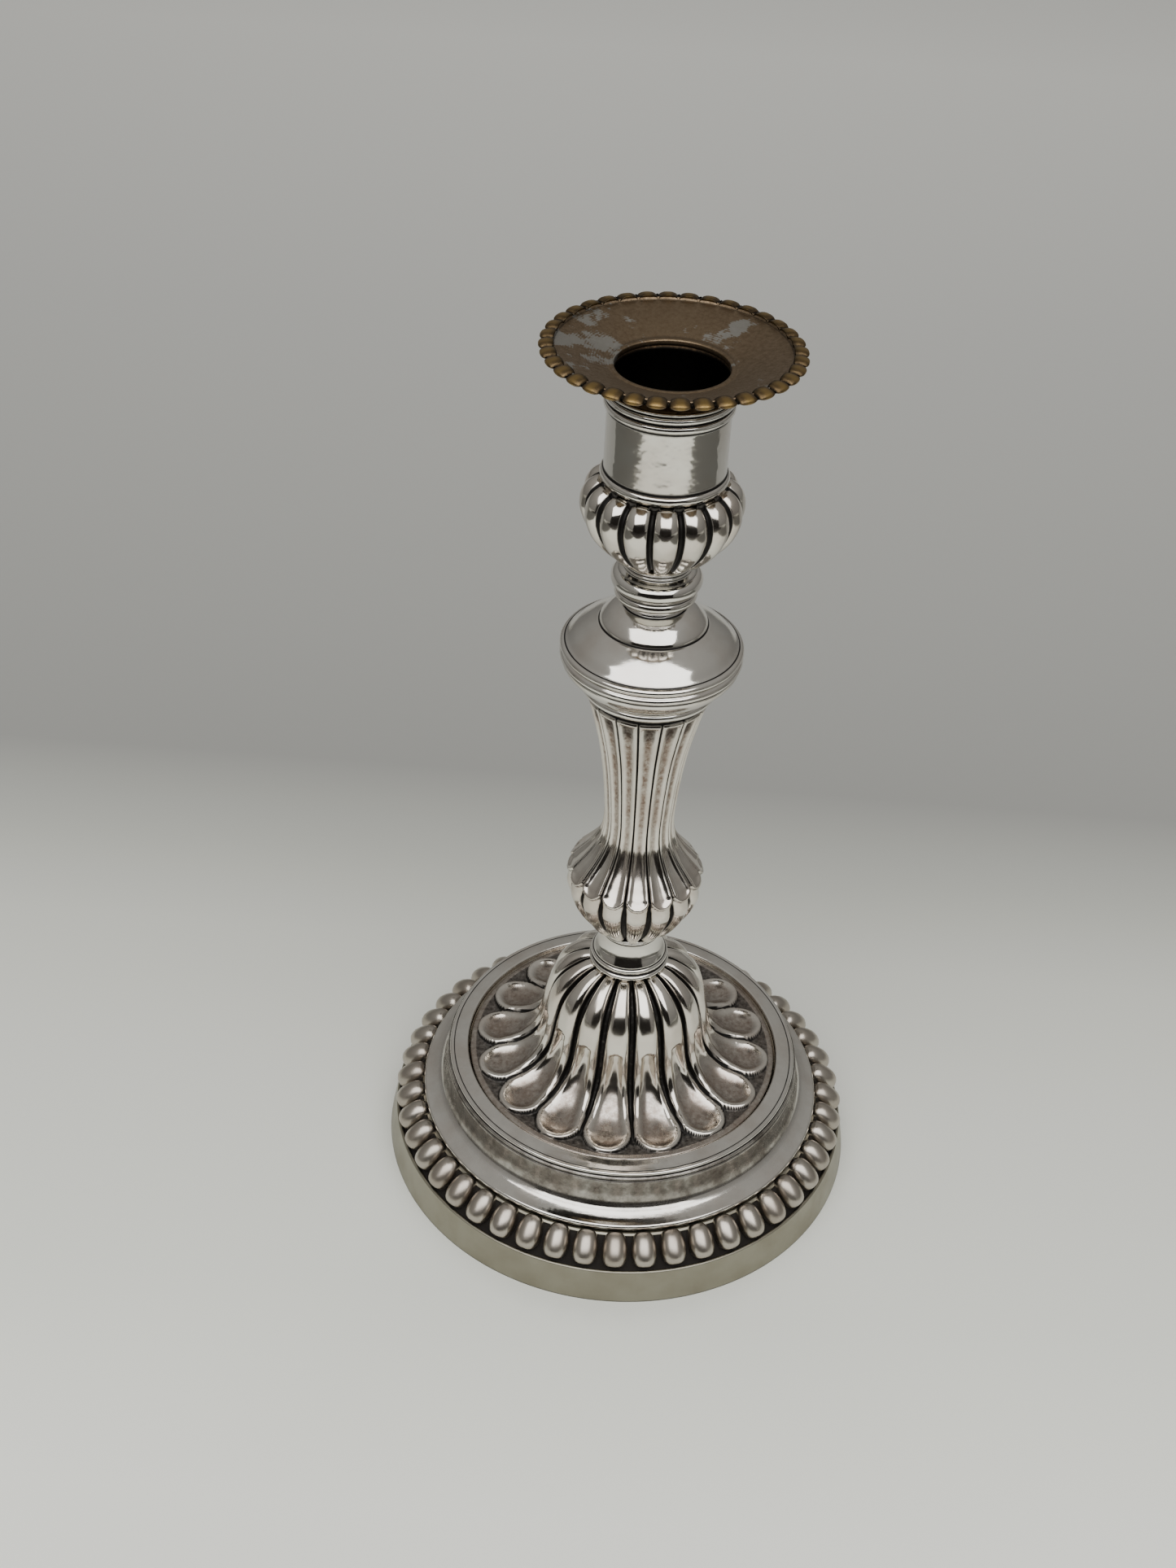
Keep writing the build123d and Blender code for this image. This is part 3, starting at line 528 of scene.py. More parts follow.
def dome_relief(x, s, r, z, half):
    """Depth, tarnish with a painted shadow line round each lobe, and wear of one lobe of the dome."""
    gap = np.interp(r, (9.7, 13, 18, 22, 28, TIP_CENTRE), (0.55, 0.75, 0.95, 1.0, 0.75, 0.5))
    width = np.minimum(r * half - gap, TIP_RADIUS)
    tip = s[np.argmin(abs(r - TIP_CENTRE))]
    past = np.maximum(tip - s, 0)
    edge = np.where(past > 0, TIP_RADIUS - np.hypot(x, past), width - abs(x))
    ground = np.interp(r, (30, 36, 37.6, 38.6, 39.3), (1.45, 1.3, 0.95, 0.5, 0.3)) * smooth(-edge / 0.55)
    crown = np.interp(r, (9.7, 14, 21, 25, 31), (0.6, 1.0, 1.05, 0.7, 0.12))
    lobe = crown * np.clip(abs(x) / width, 0, 1) ** 3.6
    rim = np.interp(r, (21, 23, 27), (1.45, 1.15, 0.95))
    arch = s[np.argmin(abs(z - ARCH_HEIGHT))]
    above = np.where(s > arch, ARCH_RADIUS - np.hypot(x, s - arch), 9.0)
    inside = np.minimum(edge - rim, above)
    room = np.maximum(width - rim, 1.0)
    bowl = 1 - (1 - np.clip(inside / room, 0, 1)) ** 2.8
    deep = np.interp(z, (28.8, 29.4, 31, 33, 36, 40, 44), (1.35, 1.5, 1.4, 1.25, 1.4, 2.1, 2.4))
    rim_round = 0.16 * (np.clip(edge / rim, 0, 1) * 2 - 1) ** 2 * smooth((r - 24) / 3)
    depth = ground + np.where(edge > 0, lobe + rim_round * (inside < 0), crown) + deep * bowl
    # outline: a thin dark line hugging each lobe's outline, painted shadow under the tips and at the foot
    # of the lobe walls, laid over the tarnish
    outline = np.exp(-np.minimum(edge - 0.05, 0) ** 2 / 0.12)
    flat = smooth((r - 33) / 3)
    black = smooth((0.08 - edge) / 0.3) * (0.78 - 0.1 * flat + 0.35 * outline)
    black = black * (1 - 0.6 * smooth((r - 37.8) / 0.5))
    brown = smooth(inside / 1.6) * (0.35 + 0.6 * smooth((r - 22) / 5)) + 0.9 * flat * (edge < -0.2)
    return depth, black, brown


DOME_STEPS = (0.22, 0.22, 0.22, 0.26, 0.3, *[0.42] * 10)  # mm, finest at the tips
dome = lift(
    0,
    curve([(39.35, 27.9), (38.6, 28.35), (37.5, 28.75), (34, 28.9), (31, 29.4), (28, 30.4), (25.5, 32),
           (23.3, 34.5), (21.9, 38), (21.2, 42), (20.4, 46), (19.3, 50), (17.6, 53.3), (15, 56), (12, 57.9),
           (9.7, 58.7)], DOME_STEPS),
)
dome_inner = [
    (4.7, 58.7), (4.7, 56), (12.5, 53.5), (16.5, 46), (17.4, 38), (19.5, 33), (24, 29),
    (29, 27), (33, 26.2), (36.4, 26.2), (36.5, 27.06), (39.2, 27.06),
]
turn_round(
    "dome_fluting", wedge("dome", dome, dome_inner, FLUTES, 36, dome_relief),
    FLUTES, fluted_silver, "stand", ["fluted_dome"], DOME_TURN,
)

# %% [markdown]
# ## The collar
# A small double torus sits on the dome, then an ogee narrows to the neck under the stem.

# %% Collar
collar = lift(
    dome_top,
    [(8.6, -0.2)],
    ring(9.1, 0.75, 0.75, 0.7, -70, 70),
    [(9.15, 1.62)],
    ring(8.9, 2.5, 0.62, 0.72, -70, 80),
    [(8.85, 3.4)],
    curve([(8.85, 3.5), (8.45, 4.3), (7.9, 5.3), (7.45, 6.6), (7.15, 8.2), (7.1, 9.4)]),
    [(7.2, 9.6)],
    ring(7.15, 9.95, 0.3, 0.3, -80, 80, 8),
    [(7.3, 10.3)],
    ring(7.3, 10.75, 0.42, 0.4, -80, 80, 8),
    [(7.2, 11.2)],
)
collar_inner = [
    (ROD_HOLE, stem_foot), (ROD_HOLE, dome_top - SPIGOT_DEPTH), (SPIGOT, dome_top - SPIGOT_DEPTH),
    (SPIGOT, dome_top - 0.2),
]
turn_round(
    "collar_turning", wedge("collar", collar, collar_inner),
    PLAIN_WEDGES, silver, "stand", ["dome_collar"],
)

# %% [markdown]
# ## The stem
# The stem is the piece that makes the stick: a trumpet of sixteen hollow flutes that swells into a
# bulb, where each flute ends in a round tip standing proud of plain lobes underneath. Flutes, tips and
# lobes share one relief function, because they share the same sixteen black lines.

# %% Relief of the stem
STEM_TURN = 4.45  # degrees to the middle of the first flute
BULB_TIP = 2.72  # radius of a flute's round tip
TIP_HEIGHT = 89.2  # of the round tip's centre
LOBE_FOOT = 71.2  # height where the lobes under the tips start
BULB_TOP = 96  # below this height a flute is no wider than its tip
FLUTE_END = 138.1  # height of the flutes' square tops


def stem_relief(x, s, r, z, half):
    """Depth, tarnish with painted shade under the tips and square tops, and wear of one flute, its tip and
    the lobe below.
    """
    gap = np.interp(z, (71, 78, 84, 88, 93, 99, 106, 138), (0.55, 0.95, 0.9, 0.5, 0.42, 0.33, 0.27, 0.32))
    width = np.minimum(r * half - gap, np.where(z < BULB_TOP, BULB_TIP, 9))
    tip = s[np.argmin(abs(z - TIP_HEIGHT))]
    past = np.maximum(tip - s, 0)
    top = s[np.argmin(abs(z - FLUTE_END))]
    edge = np.where(past > 0, BULB_TIP - np.hypot(x, past), width - abs(x))
    edge = np.minimum(edge, top - s)
    rim = np.interp(z, (90, 100, 130, 138), (0.42, 0.34, 0.42, 0.5))
    inside = np.minimum(edge - rim, top - s - 0.75)
    room = np.maximum(width - rim, 0.4)
    bowl = 1 - (1 - np.clip(inside / room, 0, 1)) ** np.interp(z, (92, 100), (3.2, 2))
    deep = np.interp(z, (86, 92, 100, 110, 130, 138), (0.62, 0.6, 0.5, 0.45, 0.75, 0.9))
    flute = deep * bowl + 0.05 * (np.clip(edge / rim, 0, 1) * 2 - 1) ** 2 * (inside < 0)
    lobe_width = r * half - gap
    lobe_start = s[np.argmin(abs(z - LOBE_FOOT))]
    lobe_point = (s - lobe_start) * 0.9 - 0.25 * x**2 / np.maximum(lobe_width, 1)
    lobe_edge = np.minimum(lobe_width - abs(x), lobe_point)
    lobe = 0.7 * np.clip(abs(x) / lobe_width, 0, 1) ** 2.4 + 0.85 * smooth(-lobe_edge / 0.55)
    under = lobe + 0.62 * smooth((z - 82.5) / 3.5)
    between = smooth((z - 88) / 5)
    ground = under * (1 - between) + 0.85 * between
    wall = smooth(-edge / 0.32)
    depth = np.where(edge > 0, flute, ground * wall)
    depth = np.where((z < 87) & (edge < 0), under * wall, depth)
    line = smooth(-edge / 0.2) * smooth((z - 86.5) / 3)
    # tip_line: a thin dark line just outside each round tip, a painted shadow under the tip
    tip_line = smooth(-edge / 0.15) * (1 - smooth(-edge / 0.55)) * (z < 91)
    black = np.maximum.reduce([line, 0.95 * tip_line, smooth(-lobe_edge / 0.35) * (edge < 0)])
    upper = np.interp(z, (88, 94, 100, 112, 136), (0.05, 0.3, 0.9, 1.15, 1.3))
    brown = smooth(inside / room / 0.75) * upper * (edge > 0)
    # painted shade inside the top of each flute, under its square top, joined to the black
    shade = 0.6 * smooth(inside / 0.6) * smooth((z - 129) / 6)
    return depth, np.maximum(black, shade * (edge > 0)), brown


stem = lift(
    0,
    curve([(7.7, stem_foot), (8.3, 70.35), (9.6, 71.2), (11.6, 73.5), (13.3, 76), (14.9, 79), (16.0, 82),
           (16.6, 85), (16.1, 88), (13.8, 91), (11.4, 94), (9.6, 97), (8.6, 100), (8.3, 104), (8.5, 108),
           (8.8, 112), (9.2, 116), (9.7, 120), (10.5, 125), (11.6, 130), (12.7, 134.5), (13.4, 137),
           (13.9, 138.6), (14.1, stem_top)], 0.42),
)
stem_inner = [(ROD_HOLE, stem_top), (ROD_HOLE, stem_foot)]
turn_round(
    "stem_fluting", wedge("stem", stem, stem_inner, FLUTES, 26, stem_relief),
    FLUTES, fluted_silver, "stand", ["fluted_stem"], STEM_TURN,
)

# %% [markdown]
# ## The shoulder
# Over the stem the stick swells to its widest turning: a small ring, a swept underside, two rims with
# black lines between them, and a broad smooth cap with a small step near its top.

# %% Shoulder base and cap
shoulder = lift(
    stem_top,
    [(13.2, 0.0), (13.6, 0.5)],
    ring(14.1, 1.9, 1.3, 1.15, -75, 75),
    [(14.6, 3.35)],
    curve([(14.9, 3.5), (16.2, 4.0), (17.8, 5.2), (19.1, 6.7), (19.75, 7.9)]),
    [(19.8, 8.3), (19.65, 8.75)],
    ring(19.45, 9.75, 0.85, 0.9, -75, 70),
    [(19.6, 10.9)],
)
shoulder_inner = [
    (ROD_HOLE, rim_seat), (ROD_HOLE, stem_top - SPIGOT_DEPTH), (SPIGOT, stem_top - SPIGOT_DEPTH),
    (SPIGOT, stem_top),
]
turn_round(
    "shoulder_turning", wedge("shoulder", shoulder, shoulder_inner),
    PLAIN_WEDGES, silver, "stand", ["shoulder_base"],
)
cap = lift(
    rim_seat,
    [(19.55, 0.0)],
    ring(19.35, 0.95, 0.98, 0.85, -70, 75),
    [(19.3, 1.85)],
    curve([(19.2, 1.9), (18.6, 2.35), (17, 3.85), (14.5, 5.6), (12.3, 6.85)]),
    [(12.0, 6.85)],
    curve([(11.92, 7.0), (11.5, 8.05), (9.8, 9.8), (7.9, 11.0), (6.9, 11.6), (6.6, 12.3)]),
)
turn_round(
    "shoulder_crown", wedge("cap", cap, [(ROD_HOLE, knop_seat), (ROD_HOLE, rim_seat)]),
    PLAIN_WEDGES, silver, "stand", ["shoulder_cap"],
)

# %% [markdown]
# ## The neck knop
# A small ring, a groove and a full torus: the thinnest place of the stick, between shoulder and cup.

# %% Knop
knop = lift(
    knop_seat,
    [(6.6, 0.0), (6.9, 0.45), (7.6, 0.8)],
    ring(8.2, 2.35, 0.84, 1.2, -80, 65),
    [(8.68, 3.5)],
    ring(8.1, 5.8, 1.86, 2.1, -72, 80),
    [(8.0, 8.1), (7.5, 8.45)],
    ring(7.0, 9.0, 0.45, 0.4, -70, 70, 8),
    [(7.2, 9.6)],
    ring(7.25, 9.95, 0.3, 0.25, -80, 60, 8),
)
knop_inner = [
    (ROD_HOLE, cup_seat), (ROD_HOLE, knop_seat - SPIGOT_DEPTH), (SPIGOT, knop_seat - SPIGOT_DEPTH),
    (SPIGOT, knop_seat),
]
turn_round(
    "knop_turning", wedge("knop", knop, knop_inner),
    PLAIN_WEDGES, silver, "stand", ["neck_knop"],
)

# %% [markdown]
# ## The socket cup
# Sixteen fat gadroons: rounded at the top under the bead, drawn to a point at the foot.

# %% Relief of the cup
GADROON_TOP = 2.65  # radius of a gadroon's round top
GADROON_DROP = 2.3  # from the cup's edge down to that round's centre


def cup_relief(x, s, r, z, half):
    """Depth, tarnish and wear of one gadroon."""
    gap = np.interp(r, (8, 12, 17), (0.5, 0.75, 0.85))
    width = r * half - gap
    above = np.maximum(s - (s[-1] - GADROON_DROP), 0)
    foot_end = s[np.argmin(abs(z - cup_seat - 1.2))]
    round_top = GADROON_TOP - np.hypot(x, above)
    point = (s - foot_end) * 0.62 - abs(x) * 0.45
    edge = np.minimum(np.where(above > 0, round_top, point), width - abs(x))
    crown = 0.34 * np.maximum(width, 1.0)
    lobe = crown * np.clip(1 - edge / np.maximum(width, 1.0), 0, 1) ** 2.1
    depth = lobe + 0.85 * smooth(-edge / 0.6)
    return depth, smooth((0.15 - edge) / 0.4) * smooth((z - cup_seat - 0.4) / 0.9), 0 * x


cup = lift(
    cup_seat,
    curve([(7.35, 0.1), (8.0, 0.4), (9.3, 1.2), (10.8, 2.3), (12.6, 4), (14.4, 6), (15.8, 8), (16.7, 10),
           (17.3, 12), (17.4, 14), (17.0, 16), (15.9, 17.8), (14.2, 19.05), (13.2, 19.3)], 0.22),
)
cup_inner = [
    (12.1, cup_top), (12.1, cup_seat + 9), (6.5, cup_seat + 6), (ROD_HOLE, cup_seat + 6),
    (ROD_HOLE, cup_seat - SPIGOT_DEPTH), (SPIGOT, cup_seat - SPIGOT_DEPTH), (SPIGOT, cup_seat + 0.1),
]
turn_round(
    "cup_gadroons", wedge("cup", cup, cup_inner, FLUTES, 30, cup_relief),
    FLUTES, fluted_silver, "stand", ["socket_cup"], STEM_TURN,
)

# %% [markdown]
# ## The sleeve
# A plain polished tube, with a bead at its foot and two rings, a cove and a lip at its mouth.

# %% Sleeve
sleeve = lift(
    cup_top,
    [(12.2, -2.9), (12.2, -0.05), (12.9, 0.0)],
    ring(12.75, 1.15, 0.8, 1.0, -75, 75),
    [(12.86, 2.3)],
    curve([(12.82, 2.6), (12.8, 9), (12.82, 15.6)], 0.6),
    [(12.84, 15.9)],
    ring(12.8, 17.0, 0.72, 0.85, -75, 75),
    [(13.0, 18.0)],
    ring(12.8, 18.9, 0.74, 0.75, -70, 70),
    [(12.98, 19.75), (12.95, 20.0)],
    ring(13.1, 20.4, 0.48, 0.36, -60, 90, 8),
)
sleeve_inner = [(12.3, sleeve_top), (12.3, cup_top + 2), (11.4, cup_top + 2), (11.4, cup_top - 2.9)]
turn_round(
    "sleeve_turning", wedge("sleeve", sleeve, sleeve_inner),
    PLAIN_WEDGES, hammered_silver, "stand", ["socket_sleeve"],
)

# %% [markdown]
# ## The drip pan's finish
# The pan lifts out and has been scrubbed for generations, so its plate is nearly gone: brown brass
# shows, with ragged islands of grey silver, golden on the crests of its border (rubbed, and partly a
# painted highlight) and black between them.

# %% Worn plate on brass
# Where the old silver lasted: centre, reach in metres, and how much of it is left.
SILVER_LEFT = (((-0.0175, 0.004, 0.0), 0.016, 0.27), ((0.013, 0.0145, 0.0), 0.008, 0.22))


def worn_brass(name, base, dark, bright, silver_left, black, island_level):
    """Brass with patches of silver left on it; recess is black, worn is rubbed golden and, on the border,
    also a painted highlight.
    """
    material, tree, where = start_finish(name)
    cloud = noise(tree, where, 7, 8.0, 0.62)
    grain = noise(tree, where, 0.9, 4.0, 0.7)
    flat = add_node(tree, "ShaderNodeMapping", {"Vector": where, "Scale": (1.0, 1.0, 0.0)}).outputs[0]
    rings = add_node(
        tree, "ShaderNodeTexWave",
        {"Vector": flat, "Scale": 0.314 / (0.55 * MM), "Distortion": 1.5, "Detail": 2.0},
        wave_type="RINGS", rings_direction="Z",
    ).outputs["Fac"]
    islands = times_plus(tree, rings, 0.03, cloud)
    for centre, reach, plenty in SILVER_LEFT:
        away = add_node(tree, "ShaderNodeVectorMath", {0: flat, 1: centre}, operation="DISTANCE")
        chance = span(tree, away.outputs["Value"], high=reach, to_low=plenty, to_high=0.0)
        islands = add_node(tree, "ShaderNodeMath", {0: islands, 1: chance}, operation="ADD").outputs[0]
    left_share = span(tree, islands, island_level, island_level + 0.035, to_high=0.8)
    black_edge = times_plus(tree, grain, 0.3, vertex_value(tree, "recess"))
    black_share = span(tree, black_edge, 0.4, 0.95)
    colour = overlay(
        tree, base, (span(tree, grain, 0.35, 0.65), dark), (vertex_value(tree, "worn"), bright),
        (left_share, silver_left), (black_share, black),
    )
    end_finish(tree, {
        "Base Color": colour,
        "Metallic": span(tree, black_share, to_low=1.0, to_high=0.9),
        "Roughness": span(tree, grain, 0.3, 0.7, 0.36, 0.52),
        "Normal": bump(tree, grain, 0.03, bump(tree, rings, 0.004)),
    })
    return material


# Brown brass with islands of the old silver plate.
pan_metal = worn_brass("worn_plate_on_brass", "#887660", "#6e5e4a", "#9b8662", "#a5a49f", "#120e0a", 0.64)
# The border is rubbed by every thumb that lifts the pan: golden on its crests, no silver left; the gold on
# each crest is partly a painted highlight.
border_metal = worn_brass(
    "rubbed_brass_border_painted_highlight", "#6f5d42", "#564733", "#a08552", "#96938a", "#120e0a", 0.95
)
# The inside of the candle tube, brown and black with old wax and soot.
tube_metal = worn_brass("sooted_brass", "#5f4c37", "#3f3123", "#5c4a33", "#4a4336", "#0c0a07", 0.95)
print("finishes:", pan_metal.name, border_metal.name, tube_metal.name)

# %% [markdown]
# ## The drip pan
# The dish slopes down to the hole and carries a fine raised line inside its border. The border is a
# wire of 36 rounded lobes soldered round the edge.

# %% Dish
rim_z = (low_z("pan_border") + high_z("pan_border")) / 2
dish = np.vstack([
    [(12.45, pan_seat), (13.0, pan_seat + 0.08)],
    curve([(13.4, pan_seat + 0.15), (20, pan_seat + 2.35), (24.25, rim_z - 0.95)], 0.6),
    [(24.4, rim_z - 0.3), (24.6, rim_z + 0.1)],
    ring(24.35, rim_z + 0.05, 0.28, 0.32, 0, 170, 8),
    curve([(23.9, rim_z - 0.12), (22.0, rim_z - 0.62), (18, pan_seat + 3.05), (13.6, pan_seat + 1.5)], 0.5),
    ring(12.35, pan_seat + 0.95, 0.62, 0.38, 30, 180, 8),
])
dish_black = 0.75 * smooth((0.9 - abs(dish[:, 0] - 23.85) * 2.2)) * (dish[:, 1] > rim_z - 0.6)
dish_hole = [(11.72, pan_seat + 0.5), (11.72, pan_seat)]
turn_round(
    "pan_dish", wedge("dish", dish, dish_hole, recess=dish_black),
    PLAIN_WEDGES, pan_metal, "pan", ["drip_pan"],
)

# %% Border lobes
LOBES = 36
LOBE_TURN = 4.5  # degrees to the crest of the first lobe


def lobe_relief(x, s, r, z, half):
    """Depth, tarnish, and rubbed gold with a painted highlight on the crest, of one lobe of the border."""
    share = np.clip(abs(x) / (r * half), 0, 1)
    depth = 0.8 * share**2.8 + 0.25 * smooth((share - 0.8) / 0.2)
    # the third value lightens each lobe's crest: rubbed brass, partly a painted highlight
    return depth, 0.9 * smooth((share - 0.66) / 0.3), 0.6 * smooth((0.6 - share) / 0.45)


BORDER_MIDDLE = 24.75  # radius of the wire's middle
border = ring(BORDER_MIDDLE, rim_z, pan_radius - BORDER_MIDDLE, 0.97, -100, 115, 24)
border_black = np.interp(np.arange(len(border)), (0, 3, 18, 24), (0.5, 0, 0, 0.7))
border_inner = [(24.35, rim_z + 0.3), (24.35, rim_z - 0.5)]
turn_round(
    "pan_lobes", wedge("lobe", border, border_inner, LOBES, 16, lobe_relief, recess=border_black),
    LOBES, border_metal, "pan", ["pan_border"], LOBE_TURN,
)

# %% Candle tube
tube_low = low_z("candle_tube")
tube = np.array([
    (0.5, tube_low), (11.4, tube_low), (12.0, tube_low + 0.5), (12.1, sleeve_top), (13.1, sleeve_top),
    (13.2, sleeve_top + 0.2), (12.5, sleeve_top + 0.9), (12.3, sleeve_top + 1.6), (12.6, sleeve_top + 2.4),
    (13.1, pan_seat - 0.2), (13.0, pan_seat), (11.7, pan_seat),
])
tube_inside = [
    (11.7, pan_seat - 1), (11.7, tube_low + 1.2), (11.3, tube_low + 0.8), (0.5, tube_low + 0.8),
]
soot = np.repeat([0.0, 0.6, 0.95], [len(tube) - 1, 1, len(tube_inside)])
turn_round(
    "candle_cylinder",
    wedge("tube", np.vstack([tube, tube_inside]), [(0.5, tube_low + 0.4)], recess=soot),
    PLAIN_WEDGES, tube_metal, "pan", ["candle_tube"],
)

# %% [markdown]
# ## What the stick hides
# The steel rod, nuts and washers, the iron weight, the brass closing plate and the baize keep their CAD
# shape; each gets a finish of its own.

# %% Plain finishes for the hidden pieces
def plain(name, tone, second_tone, roughness, metallic, size_mm, bump_mm):
    """A mottled finish: two tones in patches of about size_mm, with a fine bump."""
    material, tree, where = start_finish(name)
    patch = noise(tree, where, size_mm, 6.0, 0.65)
    end_finish(tree, {
        "Base Color": overlay(tree, tone, (patch, second_tone)),
        "Metallic": metallic,
        "Roughness": span(tree, patch, to_low=roughness - 0.08, to_high=roughness + 0.08),
        "Normal": bump(tree, patch, bump_mm),
    })
    return material


# Mild steel, turned and left bare: grey with a bloom of rust-brown.
steel = plain("bare_mild_steel", "#8d8b88", "#6f665e", 0.38, 1.0, 3.0, 0.01)
# Grey cast iron: dark, dull and grainy from the sand.
iron = plain("sand_cast_iron", "#4a4744", "#3a332d", 0.62, 1.0, 1.5, 0.08)
# Rolled brass sheet, never polished underneath.
brass_sheet = plain("rolled_brass_sheet", "#a5884f", "#7d6538", 0.42, 1.0, 6.0, 0.01)
# Green baize: a felted wool cloth, soft and matt.
baize = plain("green_wool_baize", "#2f4a35", "#223a29", 0.9, 0.0, 0.6, 0.15)
hidden_finish = {
    "tie_rod": steel, "foot_nut": steel, "foot_washer": steel,
    "socket_nut": steel, "socket_washer": steel, "clamp_plate": steel,
    "foot_weight": iron, "base_plate": brass_sheet, "baize_pad": baize,
}
for node, finish in hidden_finish.items():
    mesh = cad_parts[node].data
    mesh.materials.clear()
    mesh.materials.append(finish)
print("hidden pieces finished:", len(hidden_finish))

# %% [markdown]
# ## Floor, light and camera
# Silver shows its surroundings more than itself. The studio is a flat pale paper floor with painted shade:
# lighter in front and darker behind the stick, where a paper sweep would turn up out of the light. A broad
# soft light stands in front under the ceiling and a weaker one behind. Five cards stand for the rest of the
# room, and are seen only in reflections: two grey ones beside the stick, the viewer's shadow on the floor
# (a painted shadow), the viewer and a patch of dark ceiling.

# %% Floor
FLOOR_HALF = 3.0  # metres
floor_mesh = bpy.data.meshes.new("paper_floor")
floor_mesh.from_pydata(
    [(-FLOOR_HALF, -FLOOR_HALF, 0), (FLOOR_HALF, -FLOOR_HALF, 0), (FLOOR_HALF, FLOOR_HALF, 0),
     (-FLOOR_HALF, FLOOR_HALF, 0)], [], [(0, 1, 2, 3)],
)
floor = bpy.data.objects.new("paper_floor", floor_mesh)
bpy.context.scene.collection.objects.link(floor)
# Matt paper, laid flat. How far back a place lies, in metres, and the tone painted there: lighter in front,
# then darker where a sweep would begin, a painted shade; the floor itself stays flat.
PAPER_TONES_AND_SHADE = (
    (-0.12, "#eeefe6"), (-0.06, "#dddfd6"), (0.02, "#d0d1c9"), (0.065, "#c5c6be"), (0.105, "#acada6"),
    (0.15, "#8f8f8b"), (0.23, "#979793"), (0.51, "#adada9"), (0.96, "#cecec9"),
)
paper, paper_tree, spot = start_finish("matt_paper_painted_shade")
depth_axis = add_node(paper_tree, "ShaderNodeSeparateXYZ", {0: spot})
nearest, farthest = PAPER_TONES_AND_SHADE[0][0], PAPER_TONES_AND_SHADE[-1][0]
way_back = span(paper_tree, depth_axis.outputs["Y"], nearest, farthest)
paper_tone_and_shade = add_node(paper_tree, "ShaderNodeValToRGB", {"Fac": way_back})
stops = paper_tone_and_shade.color_ramp.elements
stops.remove(stops[1])
for place, code in PAPER_TONES_AND_SHADE:
    stops.new((place - nearest) / (farthest - nearest)).color = linear(code)
stops.remove(stops[0])
end_finish(paper_tree, {"Base Color": paper_tone_and_shade.outputs[0], "Roughness": 0.85})
floor_mesh.materials.append(paper)
print("floor:", 2 * FLOOR_HALF, "m square")


# %% Cards seen in reflections
def card(name, finish, x, y, z):
    """A card seen only in reflections; x is its span, y and z run from its near to its far edge."""
    card_mesh = bpy.data.meshes.new(name)
    card_mesh.from_pydata(
        [(x[0], y[0], z[0]), (x[1], y[0], z[0]), (x[1], y[1], z[1]), (x[0], y[1], z[1])], [], [(0, 1, 2, 3)]
    )
    card_mesh.materials.append(finish)
    piece = bpy.data.objects.new(name, card_mesh)
    bpy.context.scene.collection.objects.link(piece)
    piece.visible_camera = False
    piece.visible_shadow = False
    piece.visible_diffuse = False


grey_card = plain("grey_card", "#5f5f5b", "#555551", 0.9, 0.0, 20.0, 0.0)
# Dark cloth for the viewer and the dark ceiling, and also a painted shadow: the viewer's shadow on the
# floor in front.
dark_cloth_and_shadow = plain("dark_cloth_and_shadow", "#1f1a17", "#171210", 0.9, 0.0, 20.0, 0.0)
CARD_LEVEL = (0.0005, 0.0005)  # just above the paper, in metres
SIDE_DEPTH = (-0.45, 0.13)
# where the viewer stands; the painted shadow on the floor runs from here towards the stick
VIEWER_LINE = -1.35
CARDS = (
    ("left_card", grey_card, (-1.0, -0.29), SIDE_DEPTH, CARD_LEVEL),
    ("right_card", grey_card, (0.29, 1.0), SIDE_DEPTH, CARD_LEVEL),
    # painted shadow: a near-black sheet on the floor in front, the viewer's shadow, seen only in
    # reflections
    ("viewer_shadow", dark_cloth_and_shadow, (-1.3, 1.3), (VIEWER_LINE, -0.46), CARD_LEVEL),
    ("viewer", dark_cloth_and_shadow, (-1.2, 1.2), (VIEWER_LINE, -1.3), (0.0, 0.92)),
    ("dark_ceiling", dark_cloth_and_shadow, (-0.3, 0.3), (-0.12, 0.5), (1.55, 1.55)),
)
for values in CARDS:
    card(*values)
print("cards:", [values[0] for values in CARDS])

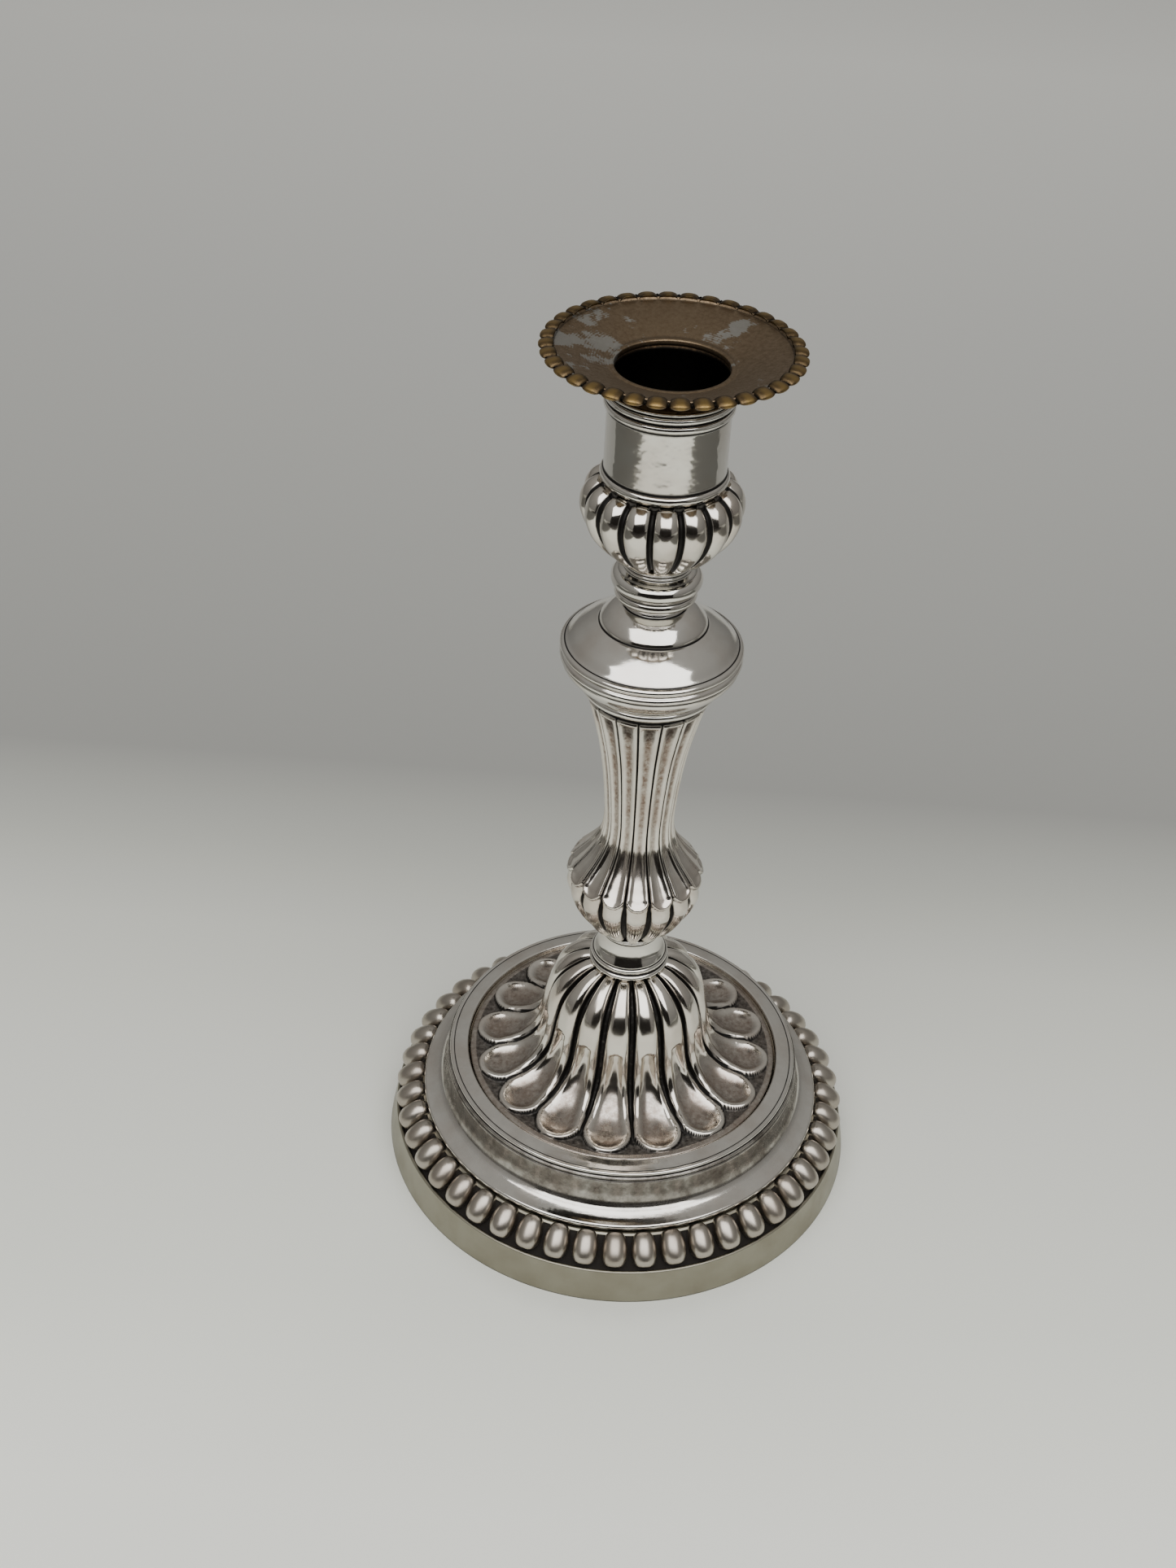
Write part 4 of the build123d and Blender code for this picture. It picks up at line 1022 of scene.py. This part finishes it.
# %% Studio surroundings and lights
world = bpy.data.worlds.new("studio")
bpy.context.scene.world = world
world.use_nodes = True
room = world.node_tree
room.nodes.clear()
look = add_node(room, "ShaderNodeTexCoord").outputs["Generated"]
height_axis = add_node(room, "ShaderNodeSeparateXYZ", {0: look})
ceiling = span(room, height_axis.outputs["Z"], 0.0, 0.9, 0.2, 0.42)
glow = add_node(room, "ShaderNodeBackground", {"Color": linear("#fffdf8"), "Strength": ceiling})
add_node(room, "ShaderNodeOutputWorld", {"Surface": glow.outputs[0]})


def soft_light(name, place, aim, width, depth, power):
    """A rectangular area light at place, turned to aim; sizes in metres, power in watts."""
    data = bpy.data.lights.new(name, "AREA")
    data.shape = "RECTANGLE"
    data.size = width
    data.size_y = depth
    data.energy = power
    lamp = bpy.data.objects.new(name, data)
    bpy.context.scene.collection.objects.link(lamp)
    lamp.location = place
    lamp.rotation_mode = "QUATERNION"
    lamp.rotation_quaternion = (Vector(aim) - Vector(place)).to_track_quat("-Z", "Y")
    return lamp


STICK_MIDDLE = (0, 0, 0.1)
soft_light("front_ceiling_light", (0.02, -0.56, 1.0), STICK_MIDDLE, width=1.6, depth=0.98, power=15.0)
wash = soft_light("room_wash", (0.0, 0.9, 1.5), STICK_MIDDLE, width=1.6, depth=0.6, power=9.0)
wash.visible_glossy = False  # it fills the shadows, and isn't mirrored in the flat tops

# %% Camera
FOCAL_MM = 43.9
SENSOR_MM = 36.0
YAW, PITCH, ROLL = (math.radians(a) for a in (-2.0069, 37.2482, 3.0486))
CAMERA_PLACE = (0, -0.35403, 0.38068)  # metres
camera = bpy.data.objects.new("camera", bpy.data.cameras.new("camera"))
bpy.context.scene.collection.objects.link(camera)
camera.data.lens = FOCAL_MM
camera.data.sensor_width = SENSOR_MM
ahead = Vector((
    math.sin(YAW) * math.cos(PITCH), math.cos(YAW) * math.cos(PITCH), -math.sin(PITCH)
))
level_right = ahead.cross(Vector((0, 0, 1))).normalized()
level_up = level_right.cross(ahead)
right = math.cos(ROLL) * level_right + math.sin(ROLL) * level_up
up = -math.sin(ROLL) * level_right + math.cos(ROLL) * level_up
pose = Matrix((right, up, -ahead)).transposed().to_4x4()
pose.translation = Vector(CAMERA_PLACE)
camera.matrix_world = pose
bpy.context.scene.camera = camera
print("camera:", [round(v, 3) for v in camera.location])
